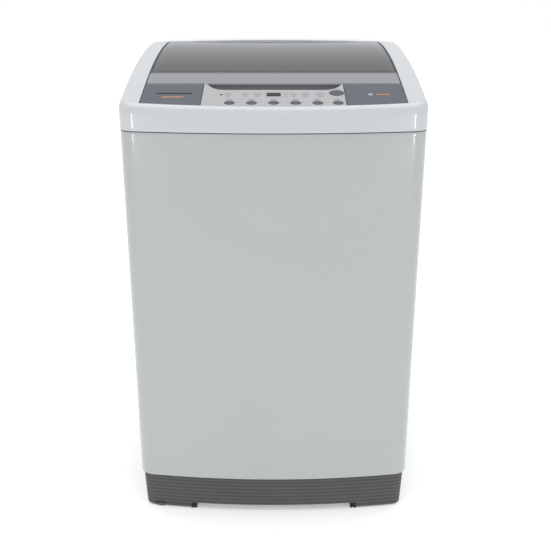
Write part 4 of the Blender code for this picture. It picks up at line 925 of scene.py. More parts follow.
def make_lid():
    """A silver front strip that is also the handle, a frame, and the smoked window let into it."""
    edge = 0.0013
    ys = spread(LID_FRONT_Y + edge, GLASS_FRONT_Y + 0.0046, 10)
    bm = bmesh.new()
    columns = []
    for x in spread(-LID_HALF + edge, LID_HALF - edge, 48):
        columns.append([(x, y, lid_skin(y)) for y in ys])
    slab(bm, columns, 0.0056, edge)
    piece("lid_front_strip", bm, SILVER, "lid", "lid_silver", ["lid_frame"], smooth=50)
    bm = bmesh.new()
    outer = opening_outline(LID_HALF - 0.0004, GLASS_FRONT_Y - 0.0012, LID_BACK_Y - 0.0004, 0.004)
    inner = opening_outline(0.215, GLASS_FRONT_Y + 0.012, 0.2165, 0.012)
    rings = [(0, 0.0037), (0, 0.0052), (0.04, 0.0058), (0.96, 0.0058), (1, 0.0054), (1, 0.004),
             (0.96, 0.0036), (0.04, 0.0036)]
    loft(bm, [[(x, y, crown(y) - drop) for x, y in mix(outer, inner, share)] for share, drop in rings],
         loop=True)
    block(bm, (-LID_HALF + 0.006, LID_FRONT_Y + 0.0016, SCOOP_Z + 0.012),
          (LID_HALF - 0.006, LID_FRONT_Y + 0.004, crown(LID_FRONT_Y) - 0.0058), 0.0006, 2)
    for side in (-1, 1):
        ear, ear_x = [(0.005, -0.006), (0.005, 0.006), (0.0024, 0.006), (0.0024, -0.006)], side * 0.2235
        turn = Matrix.Translation((ear_x, HINGE.y, HINGE.z)) @ Matrix.Rotation(pi / 2, 4, "Y")
        lathe(bm, soften(ear, 0.0008), 32, matrix=turn)
        block(bm, (ear_x - 0.0055, HINGE.y - 0.004, HINGE.z + 0.003),
              (ear_x + 0.0055, HINGE.y + 0.003, crown(HINGE.y) - 0.004), 0.0006, 1)
    piece("lid_frame_rails", bm, FRAME_GREY, "lid", "lid_silver", smooth=40)
    bm = bmesh.new()
    glass_half = LID_HALF - 0.0022
    ys = spread(GLASS_FRONT_Y + 0.007, LID_BACK_Y - 0.0016, 34)
    slab(bm, [[(x, y, lid_skin(y)) for y in ys] for x in spread(-glass_half + 0.0005, glass_half - 0.0005,
                                                                24)], 0.003, 0.0005)
    piece("lid_window", bm, SMOKED, "lid", "smoked_acrylic", ["lid_glass"], smooth=50)
    bm = bmesh.new()
    outer = opening_outline(LID_HALF, LID_FRONT_Y + 0.053, LID_BACK_Y, 0.0016)
    inner = opening_outline(LID_HALF - 0.002, GLASS_FRONT_Y + 0.0066, LID_BACK_Y - 0.0014, 0.001)
    rings = [(0, 0.003), (0, 0.0008), (0.15, 0.0002), (0.85, 0.0002), (1, 0.0006), (1, 0.003)]
    loft(bm, [[(x, y, crown(y) - drop) for x, y in mix(outer, inner, share)] for share, drop in rings],
         loop=True)
    piece("lid_gasket", bm, GASKET, "lid", "rubber", smooth=40)
    bm = bmesh.new()
    for x in (-0.205, 0.205):
        rod(bm, (x, -0.128, crown(-0.128) - 0.0056), (x, -0.128, crown(-0.128) - 0.015), 0.0045, 24, 0.0008)
    piece("lid_bumpers", bm, RUBBER, "lid", "rubber")


def make_hinge_rod():
    """The one rod that the lid turns on."""
    bm = bmesh.new()
    low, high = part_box("lid_hinge_rod")
    rod(bm, (low.x, HINGE.y, HINGE.z), (high.x, HINGE.y, HINGE.z), (high.z - low.z) / 2, 24, 0.0004)
    piece("hinge_rod", bm, STEEL, "cabinet", "stainless", ["lid_hinge_rod"])


# ---------------------------------------------------------------- base and feet
def make_base():
    """The dark plinth: a ribbed skirt, a flange under the works, and a recess between the feet."""
    low, top = BASE_LOW.z, BASE_HIGH.z - 0.014
    ribs, recess = 9, 0.014
    pitch = (top - 0.0015 - low) / ribs
    profile = [(0.0125, low), (0.0108, low), (0.0101, low + 0.0006)]
    for i in range(ribs):
        draft = 0.0085 - 0.0035 * i / ribs
        for share, deep in ((0.1, 0.0004), (0.22, 0.00005), (0.35, 0.0), (0.5, 0.0001), (0.62, 0.0006),
                            (0.72, 0.0014), (0.8, 0.0019), (0.88, 0.0019), (0.95, 0.0012)):
            profile.append((draft + deep, low + (i + share) * pitch))
    profile += [(0.008, top - 0.0008), (0.009, top), (0.0095, top + 0.0138), (0.0125, top + 0.0138),
                (0.0125, top)]
    profile += [(0.0125, z) for z in (0.06, 0.04, 0.02)]
    bm = bmesh.new()
    loft(bm, [at_height(body_outline(inset, front=18), z) for inset, z in profile], loop=True)
    skirt = piece("base_skirt", bm, BASE, "cabinet", "base_grey", ["base_frame"], smooth=40)
    half = 0.1695
    for start, stop in ((FRONT_Y - 0.05, -0.2), (0.2, BACK_Y + 0.05)):
        cut_box(skirt, (-half, start, -0.02), (half, stop, recess), 0.004)
    foot = middle_of("level_foot")
    bm = bmesh.new()
    rod(bm, (foot.x, foot.y, -0.01), (foot.x, foot.y, 0.012), 0.0195, 40, 0.001)
    cut(skirt, cutter_of(bm))
    inner = opening_outline(0.19, -0.18, 0.19, 0.06)
    plate_with_holes("base_flange", [body_outline(0.012), inner, arc(foot.x, foot.y, 0.0128, 0, 2 * pi,
                                                                     33)[:-1]], recess, recess + 0.004, BASE,
                     "cabinet", "base_grey")
    bm = bmesh.new()
    lathe(bm, soften([(0.013, 0.015), (0.013, 0.038), (0.0058, 0.038), (0.0058, 0.015)], 0.0008), 40,
          (foot.x, foot.y))
    for x, y in ((-0.12, -0.215), (0.0, -0.215), (0.12, -0.215), (-0.12, 0.215), (0.12, 0.215),
                 (-0.225, 0.05), (0.225, 0.05), (0.225, -0.1)):
        reach_x, reach_y = (0.03, 0.0015) if abs(x) > 0.2 else (0.0015, 0.03)
        block(bm, (x - reach_x, y - reach_y, 0.0178), (x + reach_x, y + reach_y, 0.045), 0.0008, 1)
    piece("base_boss_and_ribs", bm, BASE, "cabinet", "base_grey")


def make_feet():
    """The grooved rubber pads at the corners."""
    for name_y, name_x, _, _ in CORNERS:
        node = f"foot_pad_{name_y}_{name_x}"
        low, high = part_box(node)
        bm = bmesh.new()
        mid, groove = (low.x + high.x) / 2, 0.0011
        for a, b in ((low.x, mid - groove), (mid + groove, high.x)):
            block(bm, (a, low.y, 0), (b, high.y, high.z), 0.001, 3)
        block(bm, (mid - groove - 0.0012, low.y + 0.0008, 0.0012), (mid + groove + 0.0012, high.y - 0.0008,
                                                                    high.z - 0.0004))
        for y in spread(low.y + 0.006, high.y - 0.006, 6):
            block(bm, (low.x - 0.0002, y - 0.001, 0.0008), (high.x + 0.0002, y + 0.001, 0.005), 0.0004, 1)
        piece(f"pad_{name_y}_{name_x}", bm, RUBBER, "cabinet", "rubber", [node])


def make_level_foot():
    """The levelling foot on its thread, and its lock nut."""
    foot = middle_of("level_foot")
    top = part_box("level_foot")[1].z
    thread = []
    for i in range(46):
        z = 0.0135 + i * 0.0008
        thread += [(0.0043, z), (0.00498, z + 0.00035), (0.00498, z + 0.00045)]
    profile = [(0, 0), (0.0168, 0), (0.0175, 0.0012), (0.018, 0.0038), (0.0176, 0.0052), (0.0165, 0.0074),
               (0.0125, 0.0098), (0.0092, 0.0112), (0.0085, 0.0128), (0.005, 0.013)]
    profile += [p for p in thread if p[1] < top - 0.001] + [(0.0042, top - 0.0004), (0, top)]
    bm = bmesh.new()
    lathe(bm, profile, 48, (foot.x, foot.y))
    piece("levelling_foot", bm, BASE, "level_foot", "base_grey", ["level_foot"])
    low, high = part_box("level_foot_nut")
    bm = bmesh.new()
    rings = []
    for reach, z, round_off in ((0.0062, low.z, 0), (0.009, low.z, 1), (0.0095, low.z + 0.0006, 0),
                                (0.0095, high.z - 0.0006, 0), (0.009, high.z, 1), (0.0062, high.z, 0)):
        ring = []
        for a in turns(48):
            flat = 0.0095 * cos(pi / 6) / cos((a + pi / 6) % (pi / 3) - pi / 6)
            limit = min(flat, reach) if round_off else (flat if reach > 0.007 else reach)
            ring.append((foot.x + limit * cos(a), foot.y + limit * sin(a), z))
        rings.append(ring)
    loft(bm, rings, loop=True)
    piece("levelling_nut", bm, ZINC, "level_foot_nut", "zinc_steel", ["level_foot_nut"])


# ---------------------------------------------------------------- suspension, tub and basket
TUB_R, TUB_FLOOR, TUB_RIM = 0.23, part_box("outer_tub")[0].z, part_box("outer_tub")[1].z
LUG_Z = 0.33
DRUM_R = DRUM_HIGH.x
RING_Z = 0.672


def make_suspension():
    """Four rods with ball seats and spring plates, and the springs that the tub's lugs stand on."""
    for name_y, name_x, side_x, side_y in CORNERS:
        node = f"suspension_rod_{name_y}_{name_x}"
        low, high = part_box(node)
        x, y = side_x * HANGER_X, side_y * HANGER_Y
        seat, plate = high.z - 0.009, low.z
        grooves = []
        for i in range(14):
            z = plate + 0.007 + i * 0.0012
            grooves += [(0.0035, z), (0.0031, z + 0.0006)]
        profile = [(0, plate), (0.0045, plate), (0.0055, plate + 0.0008), (0.006, plate + 0.0012),
                   (0.016, plate + 0.001), (0.0174, plate + 0.0006), (0.0175, plate + 0.003),
                   (0.0168, plate + 0.0046), (0.012, plate + 0.0049), (0.006, plate + 0.0049),
                   (0.0055, plate + 0.0066), (0.0035, plate + 0.0068)]
        profile += grooves + [(0.0035, plate + 0.026), (0.0035, seat - 0.002), (0.0035, seat), (0.0078, seat),
                              (0.008, seat + 0.0012), (0.0076, seat + 0.0034), (0.0064, seat + 0.0056),
                              (0.0042, seat + 0.0078), (0.002, seat + 0.0088), (0, seat + 0.009)]
        bm = bmesh.new()
        lathe(bm, profile, 32, (x, y))
        piece(f"rod_{name_y}_{name_x}", bm, ZINC, "cabinet", "zinc_steel", [node])
        node = f"suspension_spring_{name_y}_{name_x}"
        low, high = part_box(node)
        wire_r, coil_r, coils, per_coil = 0.0016, 0.0125, 5, 28
        points = []
        for i in range(coils * per_coil + 1):
            share = min(max((i / per_coil - 0.5) / (coils - 1), 0), 1)
            a = 2 * pi * i / per_coil
            z = low.z + wire_r + (high.z - low.z - 2 * wire_r) * share
            points.append((x + coil_r * cos(a), y + coil_r * sin(a), z))
        bm = bmesh.new()
        tube(bm, points, wire_r, 12)
        spring = piece(f"spring_{name_y}_{name_x}", bm, WIRE_STEEL, None, None)
        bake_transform(spring)
        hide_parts(node)


def make_tub():
    """The outer tub: hooped and ribbed outside, with four gusseted lugs on the springs."""
    r, floor, rim = TUB_R, TUB_FLOOR, TUB_RIM
    outer = [(0.03, floor), (r - 0.03, floor), (r - 0.022, floor + 0.0004), (r - 0.012, floor + 0.01),
             (r - 0.004, floor + 0.022), (r - 0.002, floor + 0.032)]
    for z in (0.36, 0.44, 0.52, 0.6, 0.68):
        outer += [(r - 0.001, z - 0.003), (r + 0.0016, z - 0.002), (r + 0.0016, z + 0.002),
                  (r - 0.0008, z + 0.003)]
    outer += [(r, rim - 0.013), (r + 0.0034, rim - 0.0105), (r + 0.004, rim - 0.009),
              (r + 0.004, rim - 0.0012), (r + 0.0032, rim), (r - 0.0024, rim)]
    inner = [(r - 0.003, rim - 0.001), (r - 0.005, floor + 0.034), (r - 0.008, floor + 0.022),
             (r - 0.018, floor + 0.007), (r - 0.026, floor + 0.004), (0.031, floor + 0.004)]
    bm = bmesh.new()
    lathe(bm, outer + inner, 128)
    blocks_round(bm, turns(32), (r - 0.002, -0.0012, 0.3), (r + 0.001, 0.0012, rim - 0.012), 0.0003, 1)
    blocks_round(bm, turns(16, 0.5), (0.075, -0.0012, floor - 0.0058), (r - 0.026, 0.0012, floor + 0.001),
                 0.0005, 1)
    piece("tub_wall", bm, TUB, "tub", "tub_plastic", ["outer_tub"])
    bm = bmesh.new()
    for _, _, side_x, side_y in CORNERS:
        angle = [-Vector((1, 0)).angle_signed(Vector((side_x * HANGER_X, side_y * HANGER_Y)))]
        reach = sqrt(HANGER_X**2 + HANGER_Y**2) + 0.018
        blocks_round(bm, angle, (r - 0.003, -0.018, LUG_Z), (reach, 0.018, LUG_Z + 0.013), 0.003, 3)
        for y in (-0.012, 0.012):
            blocks_round(bm, angle, (r - 0.003, y - 0.0018, LUG_Z + 0.006),
                         (r + 0.03, y + 0.0018, LUG_Z + 0.038), 0.0012)
    lugs = piece("tub_lugs", bm, TUB, "tub", "tub_plastic")
    cut_rods(lugs, [((x * HANGER_X, y * HANGER_Y, 0.31), (x * HANGER_X, y * HANGER_Y, 0.36), 0.0062) for _, _,
                    x, y in CORNERS])
    bm = bmesh.new()
    profile = [(r + 0.0055, rim + 0.0003), (r + 0.0055, rim + 0.004), (r - 0.03, rim + 0.004),
               (0.187, rim + 0.016), (0.182, rim + 0.014), (0.18, rim + 0.006), (0.183, rim + 0.004),
               (0.186, rim + 0.006), (r - 0.03, rim + 0.0003)]
    lathe(bm, soften(profile, 0.0015), 128)
    blocks_round(bm, turns(16, 0.5), (0.194, -0.0012, rim + 0.002), (r - 0.001, 0.0012, rim + 0.0062), 0.0005,
                 1)
    blocks_round(bm, turns(16), (r - 0.002, -0.006, rim - 0.006), (r + 0.0062, 0.006, rim + 0.003), 0.0008, 1)
    piece("tub_ring_cover", bm, TUB, "tub", "tub_plastic", ["tub_cover"])


def perforated_wall(bm, radius, wall, low, high, columns, rows, hole):
    """A sheet drum with rows of round holes that go right through it."""
    pitch_a, pitch_z = 2 * pi / columns, (high - low) / rows
    cache = {}

    def vert(u, v, r):
        key = (round(u / pitch_a * 200) % (columns * 200), round(v * 1e6), r)
        if key not in cache:
            cache[key] = bm.verts.new((r * cos(u), r * sin(u), v))
        return cache[key]

    for i in range(columns):
        for j in range(rows):
            u, v = i * pitch_a, low + (j + 0.5) * pitch_z
            border = [(u + a * pitch_a / 2, v + b * pitch_z / 2) for a, b in
                      ((1, 0), (1, 1), (0, 1), (-1, 1), (-1, 0), (-1, -1), (0, -1), (1, -1))]
            ring = [(u + hole / radius * cos(k * pi / 4), v + hole * sin(k * pi / 4)) for k in range(8)]
            for k in range(8):
                n = (k + 1) % 8
                out, inn = radius, radius - wall
                bm.faces.new((vert(*border[k], out), vert(*border[n], out), vert(*ring[n], out),
                              vert(*ring[k], out)))
                bm.faces.new((vert(*border[n], inn), vert(*border[k], inn), vert(*ring[k], inn),
                              vert(*ring[n], inn)))
                bm.faces.new((vert(*ring[k], out), vert(*ring[n], out), vert(*ring[n], inn),
                              vert(*ring[k], inn)))
    for z in (low, high):
        for k in range(columns * 2):
            a, b = k * pitch_a / 2, (k + 1) * pitch_a / 2
            bm.faces.new((vert(a, z, radius), vert(b, z, radius), vert(b, z, radius - wall),
                          vert(a, z, radius - wall)))


def make_basket():
    """The perforated steel drum between the balance ring and its ribbed base, on a cast hub."""
    bm = bmesh.new()
    perforated_wall(bm, DRUM_R, 0.0015, DRUM_LOW.z, DRUM_HIGH.z, 72, 22, 0.0021)
    piece("drum_sheet", bm, STEEL, "basket", "stainless", ["basket_drum"])
    bm = bmesh.new()
    z, top = RING_Z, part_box("balance_ring")[1].z
    profile = [(0.209, top - 0.006), (0.211, top - 0.012), (0.211, z), (DRUM_R + 0.0003, z),
               (DRUM_R + 0.0003, z + 0.0065), (DRUM_R - 0.0018, z + 0.0065), (DRUM_R - 0.0018, z - 0.004),
               (0.19, z), (0.174, z + 0.018), (0.172, top - 0.014), (0.176, top - 0.003), (0.186, top),
               (0.2, top - 0.0012)]
    lathe(bm, soften(profile, 0.0022), 128)
    blocks_round(bm, turns(12), (0.186, -0.004, top - 0.002), (0.203, 0.004, top + 0.0006), 0.0008)
    piece("balance_ring_shell", bm, WHITE_FINE, "basket", "white_plastic", ["balance_ring"])
    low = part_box("basket_base")[0].z + 0.006
    bm = bmesh.new()
    profile = [(0.207, low + 0.0135), (0.207, low + 0.004), (0.199, low - 0.006), (0.06, low - 0.006),
               (0.06, low), (0.178, low), (0.18, low + 0.03), (0.199, low + 0.034), (0.2032, low + 0.026),
               (0.2032, low + 0.0135)]
    lathe(bm, soften(profile, 0.0015), 128)
    blocks_round(bm, turns(24), (0.064, -0.001, low - 0.0002), (0.176, 0.001, low + 0.006), 0.0004, 1)
    blocks_round(bm, turns(24, 0.5), (0.177, -0.0015, low + 0.006), (0.1815, 0.0015, low + 0.029), 0.0005, 1)
    piece("basket_floor", bm, TUB, "basket", "tub_plastic", ["basket_base"])
    bm = bmesh.new()
    lathe(bm, soften([(0.058, low - 0.001), (0.058, low - 0.0055), (0.02, low - 0.011), (0.0145, low - 0.016),
                      (0.014, 0.16), (0.008, 0.16), (0.008, low + 0.008), (0.016, low + 0.008),
                      (0.018, low - 0.001)], 0.0012), 64)
    blocks_round(bm, turns(6), (0.016, -0.0025, low - 0.0018), (0.055, 0.0025, low + 0.003), 0.0008)
    screw_heads(bm, [(0.05 * cos(a), 0.05 * sin(a), low - 0.0012) for a in turns(6, 0.5)], normal="Z")
    piece("basket_spider", bm, CAST, "basket", "cast_aluminium", ["basket_hub"])


def make_lint_filter():
    """The lint filter: a frame with a fine mesh across it."""
    low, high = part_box("lint_filter")
    bm = bmesh.new()
    for z0, z1 in ((low.z, low.z + 0.008), (high.z - 0.012, high.z)):
        block(bm, (low.x, low.y, z0), (high.x, high.y, z1), 0.003, 3)
    for y0, y1 in ((low.y, low.y + 0.006), (high.y - 0.006, high.y)):
        block(bm, (low.x, y0, low.z + 0.003), (high.x, y1, high.z - 0.003), 0.0025, 3)
    block(bm, (high.x - 0.005, low.y + 0.003, low.z + 0.003), (high.x - 0.0002, high.y - 0.003,
                                                               high.z - 0.003), 0.001)
    piece("lint_frame", bm, WHITE_FINE, "basket", "white_plastic", ["lint_filter"])
    bm = bmesh.new()
    for z in spread(low.z + 0.01, high.z - 0.014, 30):
        block(bm, (low.x + 0.003, low.y + 0.004, z - 0.0006), (low.x + 0.0048, high.y - 0.004, z + 0.0006))
    for y in spread(low.y + 0.008, high.y - 0.008, 14):
        block(bm, (low.x + 0.0034, y - 0.0005, low.z + 0.006), (low.x + 0.0044, y + 0.0005, high.z - 0.01))
    piece("lint_mesh", bm, PULSATOR_BLUE, "basket", "pulsator_plastic")


def make_pulsator():
    """The dished disc with four curved fins and its drain holes, and its snap-in cap."""
    low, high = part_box("pulsator")
    z, r = low.z + 0.01, high.x
    bm = bmesh.new()
    lathe(bm, soften([(0.0062, z - 0.01), (0.03, z - 0.01), (0.03, z - 0.002), (0.15, z - 0.002),
                      (r, z + 0.004), (r, z + 0.012), (0.15, z + 0.006), (0.1, z + 0.006), (0.045, z + 0.016),
                      (0.026, z + 0.0268), (0.0062, z + 0.0268)], 0.003, 4), 128)
    for i in range(4):
        rings = []
        for k in range(17):
            t = k / 16
            reach = 0.03 + 0.116 * t
            a = i * pi / 2 + 0.1 * sin(t * pi)
            side = 0.0105 * (1 - 0.25 * t) * min(1, sqrt(max(1 - (2 * t - 1) ** 6, 0)) + 0.05)
            tall = 0.0195 * (1 - 0.3 * t) * min(1, sqrt(max(1 - (2 * t - 1) ** 4, 0)) + 0.08)
            ring = []
            for m in range(14):
                b = pi * m / 13
                off, up = side * cos(b) * 1.15, tall * sin(b)
                ring.append((reach * cos(a) - off * sin(a), reach * sin(a) + off * cos(a), z + 0.0035 + up))
            rings.append(ring)
        loft(bm, rings, cap_start=True, cap_end=True)
    disc = piece("pulsator_disc", bm, PULSATOR_BLUE, "pulsator", "pulsator_plastic", ["pulsator"], smooth=45)
    holes = []
    for reach, count, phase in ((0.125, 24, 0.5), (0.141, 24, 0.0)):
        for i in range(count):
            a = 2 * pi * (i + phase) / count
            if abs((a + pi / 4) % (pi / 2) - pi / 4) > 0.16:
                holes.append(((reach * cos(a), reach * sin(a), z - 0.006),
                              (reach * cos(a), reach * sin(a), z + 0.012), 0.0018))
    cut_rods(disc, holes, 12)
    bm = bmesh.new()
    lathe(bm, [(0, z + 0.03), (0.006, z + 0.0299), (0.014, z + 0.0292), (0.0205, z + 0.0276),
               (0.022, z + 0.0262), (0.0222, z + 0.024), (0, z + 0.024)], 64)
    piece("pulsator_cap", bm, WHITE_FINE, "pulsator", "pulsator_plastic")


def make_shaft():
    """The shaft that turns the pulsator, splined at its top."""
    low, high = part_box("drive_shaft")
    bm = bmesh.new()
    rod(bm, (0, 0, low.z), (0, 0, high.z - 0.012), high.x, 40, 0.0006)
    rings = [[(s * cos(a), s * sin(a), zz) for s, a in ((high.x * (1.0 if i % 2 else 0.86), 2 * pi * i / 36)
                                                        for i in range(36))]
             for zz in (high.z - 0.0125, high.z)]
    loft(bm, rings, cap_start=True, cap_end=True)
    piece("shaft_splined", bm, STEEL, "pulsator", "stainless", ["drive_shaft"])


# ---------------------------------------------------------------- drive and drain
BELT_Z = 0.121
BIG_PULLEY_R, SMALL_PULLEY_R = 0.085, 0.03  # at the belt's pitch line
MOTOR = middle_of("motor_body")
PLATE_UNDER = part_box("mounting_plate")[1].z - 0.003
LINE_Y, LINE_Z = middle_of("pull_rod").y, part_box("pull_rod")[0].z + 0.002  # where the pull rod slides


def make_drive_plate():
    """The steel plate under the tub, with its stiffening beads, its bolts and the brake lever's pin."""
    low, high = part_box("mounting_plate")
    corners = [(-0.085, -0.215), (0.085, -0.215), (0.11, -0.06), (0.15, 0.11), (0.11, 0.15), (-0.11, 0.15),
               (-0.15, 0.11), (-0.11, -0.06)]
    holes = [arc(0, 0, 0.045, 0, 2 * pi, 49)[:-1], arc(0, MOTOR.y, 0.04, 0, 2 * pi, 49)[:-1]]
    holes += [arc(x, y, r, 0, 2 * pi, 25)[:-1] for x, y, r in ((-0.105, 0.05, 0.014), (0.105, 0.02, 0.012),
                                                               (-0.08, -0.075, 0.01), (0.08, -0.075, 0.01))]
    plate_with_holes("drive_plate", [soften(corners, 0.012, 5), *holes], PLATE_UNDER, high.z, ZINC, "tub",
                     "zinc_steel", ["mounting_plate"])
    bm = bmesh.new()
    for start, stop in (((-0.125, 0.135), (0.125, 0.135)), ((-0.1, -0.06), (-0.13, 0.085)),
                        ((0.1, -0.06), (0.13, 0.085))):
        rod(bm, (*start, PLATE_UNDER - 0.0002), (*stop, PLATE_UNDER - 0.0002), 0.0022, 12, 0.0004)
    x, y = middle_of("brake_lever").x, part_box("brake_lever")[0].y + 0.0075
    lathe(bm, soften([(0, low.z), (0.0055, low.z), (0.0055, low.z + 0.0028), (0.003, low.z + 0.0028),
                      (0.003, PLATE_UNDER), (0, PLATE_UNDER)], 0.0004), 32, (x, y))
    screw_heads(bm, [(a, b, PLATE_UNDER) for a, b in ((-0.055, -0.195), (0.055, -0.195), (-0.13, 0.105),
                                                      (0.13, 0.105), (0, 0.135), (-0.066, -0.02),
                                                      (0.066, -0.02))], 0.0055, 0.0034)
    piece("drive_plate_bolts", bm, ZINC, "tub", "zinc_steel")


def make_clutch():
    """The cast clutch housing, with ribs round its flange."""
    bm = bmesh.new()
    top = TUB_FLOOR - 0.001
    lathe(bm, soften([(0.044, top), (0.044, PLATE_UNDER - 0.0003), (0.058, PLATE_UNDER - 0.0003),
                      (0.058, PLATE_UNDER - 0.01), (0.0535, PLATE_UNDER - 0.014), (0.052, 0.15),
                      (0.03, 0.142), (0.015, 0.142), (0.015, top)], 0.0016), 72)
    blocks_round(bm, turns(8, 0.5), (0.046, -0.0022, 0.158), (0.0572, 0.0022, PLATE_UNDER - 0.006), 0.001)
    piece("clutch_case", bm, CAST, "tub", "cast_aluminium", ["clutch_housing"])


def make_motor():
    """The finned motor on its four pillars, with its windings and its lead."""
    bm = bmesh.new()
    rings = [(0, 0.231), (0.0345, 0.231), (0.036, 0.23), (0.037, PLATE_UNDER - 0.0003),
             (0.054, PLATE_UNDER - 0.0003), (0.0565, 0.2185), (0.0575, 0.2105), (0.0555, 0.2095)]
    for z in spread(0.208, 0.156, 27):
        rings += [(0.0575, z + 0.0004), (0.0575, z - 0.0006), (0.057, z - 0.001)]
    rings += [(0.0555, 0.153), (0.0578, 0.152), (0.0578, 0.147), (0.056, 0.142), (0.0515, 0.1384),
              (0.019, 0.138), (0.018, 0.1372), (0.018, 0.1346), (0.0172, 0.134), (0, 0.134)]
    lathe(bm, rings, 72, (0, MOTOR.y))
    for a in turns(4, 0.5):
        x, y = 0.052 * cos(a), MOTOR.y + 0.052 * sin(a)
        rod(bm, (x, y, 0.1365), (x, y, PLATE_UNDER - 0.0006), 0.003, 16, 0.0004)
    piece("motor_case", bm, MOTOR_BLACK, "tub", "motor_black", ["motor_body"])
    bm = bmesh.new()
    for a in turns(12):
        x, y = 0.03 * cos(a), MOTOR.y + 0.03 * sin(a)
        block(bm, (x - 0.0055, y - 0.003, 0.2298), (x + 0.0055, y + 0.003, 0.2318), 0.0008, 1)
    points = smooth_path([(0.05, MOTOR.y + 0.02, 0.2165), (0.074, MOTOR.y + 0.028, 0.215),
                          (0.086, MOTOR.y + 0.06, 0.2135), (0.078, MOTOR.y + 0.095, 0.2175)], 24)
    tube(bm, points, 0.0022, 12)
    piece("motor_windings_and_lead", bm, COPPER, "tub", "motor_black")


def make_pulleys():
    """The cast V pulleys. The large one has six openings between its spokes."""
    for name, radius, at_y, top, bottom in (("clutch_pulley", BIG_PULLEY_R, 0.0, 0.159, 0.106),
                                            ("motor_pulley", SMALL_PULLEY_R, MOTOR.y, 0.1336, 0.1145)):
        rim, root, half = radius + 0.003, radius - 0.0045, 0.0065
        groove = [(rim, BELT_Z - half), (rim, BELT_Z - half + 0.0012), (root, BELT_Z - 0.0032),
                  (root, BELT_Z + 0.0032), (rim, BELT_Z + half - 0.0012), (rim, BELT_Z + half)]
        bm = bmesh.new()
        if name == "clutch_pulley":
            lathe(bm, soften([(rim - 0.011, BELT_Z + half), (rim - 0.011, BELT_Z - half), *groove], 0.0006),
                  96, (0, at_y))
            lathe(bm, soften([(0, bottom), (0.013, bottom), (0.013, 0.14), (0.0075, 0.14), (0.0075, top),
                              (0, top)], 0.0008), 48, (0, at_y))
            lathe(bm, soften([(0.0125, BELT_Z - 0.003), (0.026, BELT_Z - 0.003), (0.026, BELT_Z + 0.003),
                              (0.0125, BELT_Z + 0.003)], 0.001), 64, (0, at_y))
            blocks_round(bm, turns(6), (0.024, -0.006, BELT_Z - 0.0026), (rim - 0.01, 0.006, BELT_Z + 0.0026),
                         0.0012)
        else:
            lathe(bm, soften([(0, bottom), *groove, (0.009, BELT_Z + half), (0.008, top), (0, top)], 0.0005),
                  64, (0, at_y))
        for a in turns(6):
            x, y = 0.007 * cos(a), at_y + 0.007 * sin(a)
            rod(bm, (x, y, bottom - 0.0001), (x, y, bottom + 0.002), 0.0013, 10, 0.0002)
        piece(name + "_casting", bm, CAST, name, "cast_aluminium", [name])


def make_belt():
    """A cogged V belt that meets both pulleys at a tangent."""
    big, small, inset = BIG_PULLEY_R, SMALL_PULLEY_R, 0.0042
    swing = pi / 2 - asin((big - small) / -MOTOR.y)
    inner = arc(0, MOTOR.y, small - inset, -swing, swing, 25) + arc(0, 0, big - inset, swing, 2 * pi - swing,
                                                                    81)
    path = []
    for i, p in enumerate(inner):
        q = inner[(i + 1) % len(inner)]
        length = sqrt((q[0] - p[0]) ** 2 + (q[1] - p[1]) ** 2)
        parts = max(1, round(length / 0.0022))
        path += [(p[0] + (q[0] - p[0]) * k / parts, p[1] + (q[1] - p[1]) * k / parts) for k in range(parts)]
    rings = []
    for i, p in enumerate(path):
        q, before = path[(i + 1) % len(path)], path[i - 1]
        along = Vector((q[0] - before[0], q[1] - before[1])).normalized()
        out = Vector((along.y, -along.x))
        cog = 0.0 if i % 4 < 2 else 0.0013
        section = ((cog, -0.0021), (0.0046, -0.003), (0.006, -0.003), (0.006, 0.003), (0.0046, 0.003),
                   (cog, 0.0021))
        rings.append([(p[0] + out.x * s, p[1] + out.y * s, BELT_Z + h) for s, h in section])
    bm = bmesh.new()
    loft(bm, rings, loop=True)
    piece("v_belt", bm, BELT_RUBBER, "tub", "rubber", ["drive_belt"], smooth=25)


def make_brake():
    """The brake lever, and the wire rod that draws it together with the drain valve."""
    low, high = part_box("brake_lever")
    x, y = (low.x + high.x) / 2, low.y + 0.0075
    outline = [(x + a, y + b) for a, b in opening_outline(0.007, -0.0075, 0.042, 0.0065, front=4, corner=10,
                                                          side=4)]
    slot = [(x + a, y + b) for a, b in opening_outline(0.0022, 0.0265, 0.0385, 0.0021, front=3, corner=6,
                                                       side=3)]
    plate_with_holes("lever_plate", [outline, arc(x, y, 0.0034, 0, 2 * pi, 25)[:-1], slot,
                                     arc(x, y + 0.017, 0.0022, 0, 2 * pi, 17)[:-1]], low.z, high.z, ZINC,
                     "brake_lever", "zinc_steel", ["brake_lever"])
    bm = bmesh.new()
    lathe(bm, soften([(0.0036, high.z - 0.0001), (0.0062, high.z - 0.0001), (0.0062, high.z + 0.0012),
                      (0.0036, high.z + 0.0012)], 0.0003), 32, (x, y))
    for a, b in ((-0.0066, -0.0052), (0.0052, 0.0066)):
        block(bm, (x + a, y + 0.01, low.z - 0.0008), (x + b, y + 0.03, low.z + 0.0002), 0.0003, 1)
    piece("lever_washer_and_ribs", bm, ZINC, "brake_lever", "zinc_steel")
    low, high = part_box("pull_rod")
    bm = bmesh.new()
    rod(bm, (low.x, LINE_Y, LINE_Z), (high.x, LINE_Y, LINE_Z), 0.002, 20, 0.0005)
    rod(bm, (x, LINE_Y, LINE_Z), (x, LINE_Y, high.z), 0.0016, 16, 0.0003)
    for at in (x - 0.0075, x + 0.0075, low.x + 0.02):
        rod(bm, (at - 0.0012, LINE_Y, LINE_Z), (at + 0.0012, LINE_Y, LINE_Z), 0.0031, 20, 0.0004)
    piece("rod_wire", bm, WIRE_STEEL, "pull_rod", "stainless", ["pull_rod"])


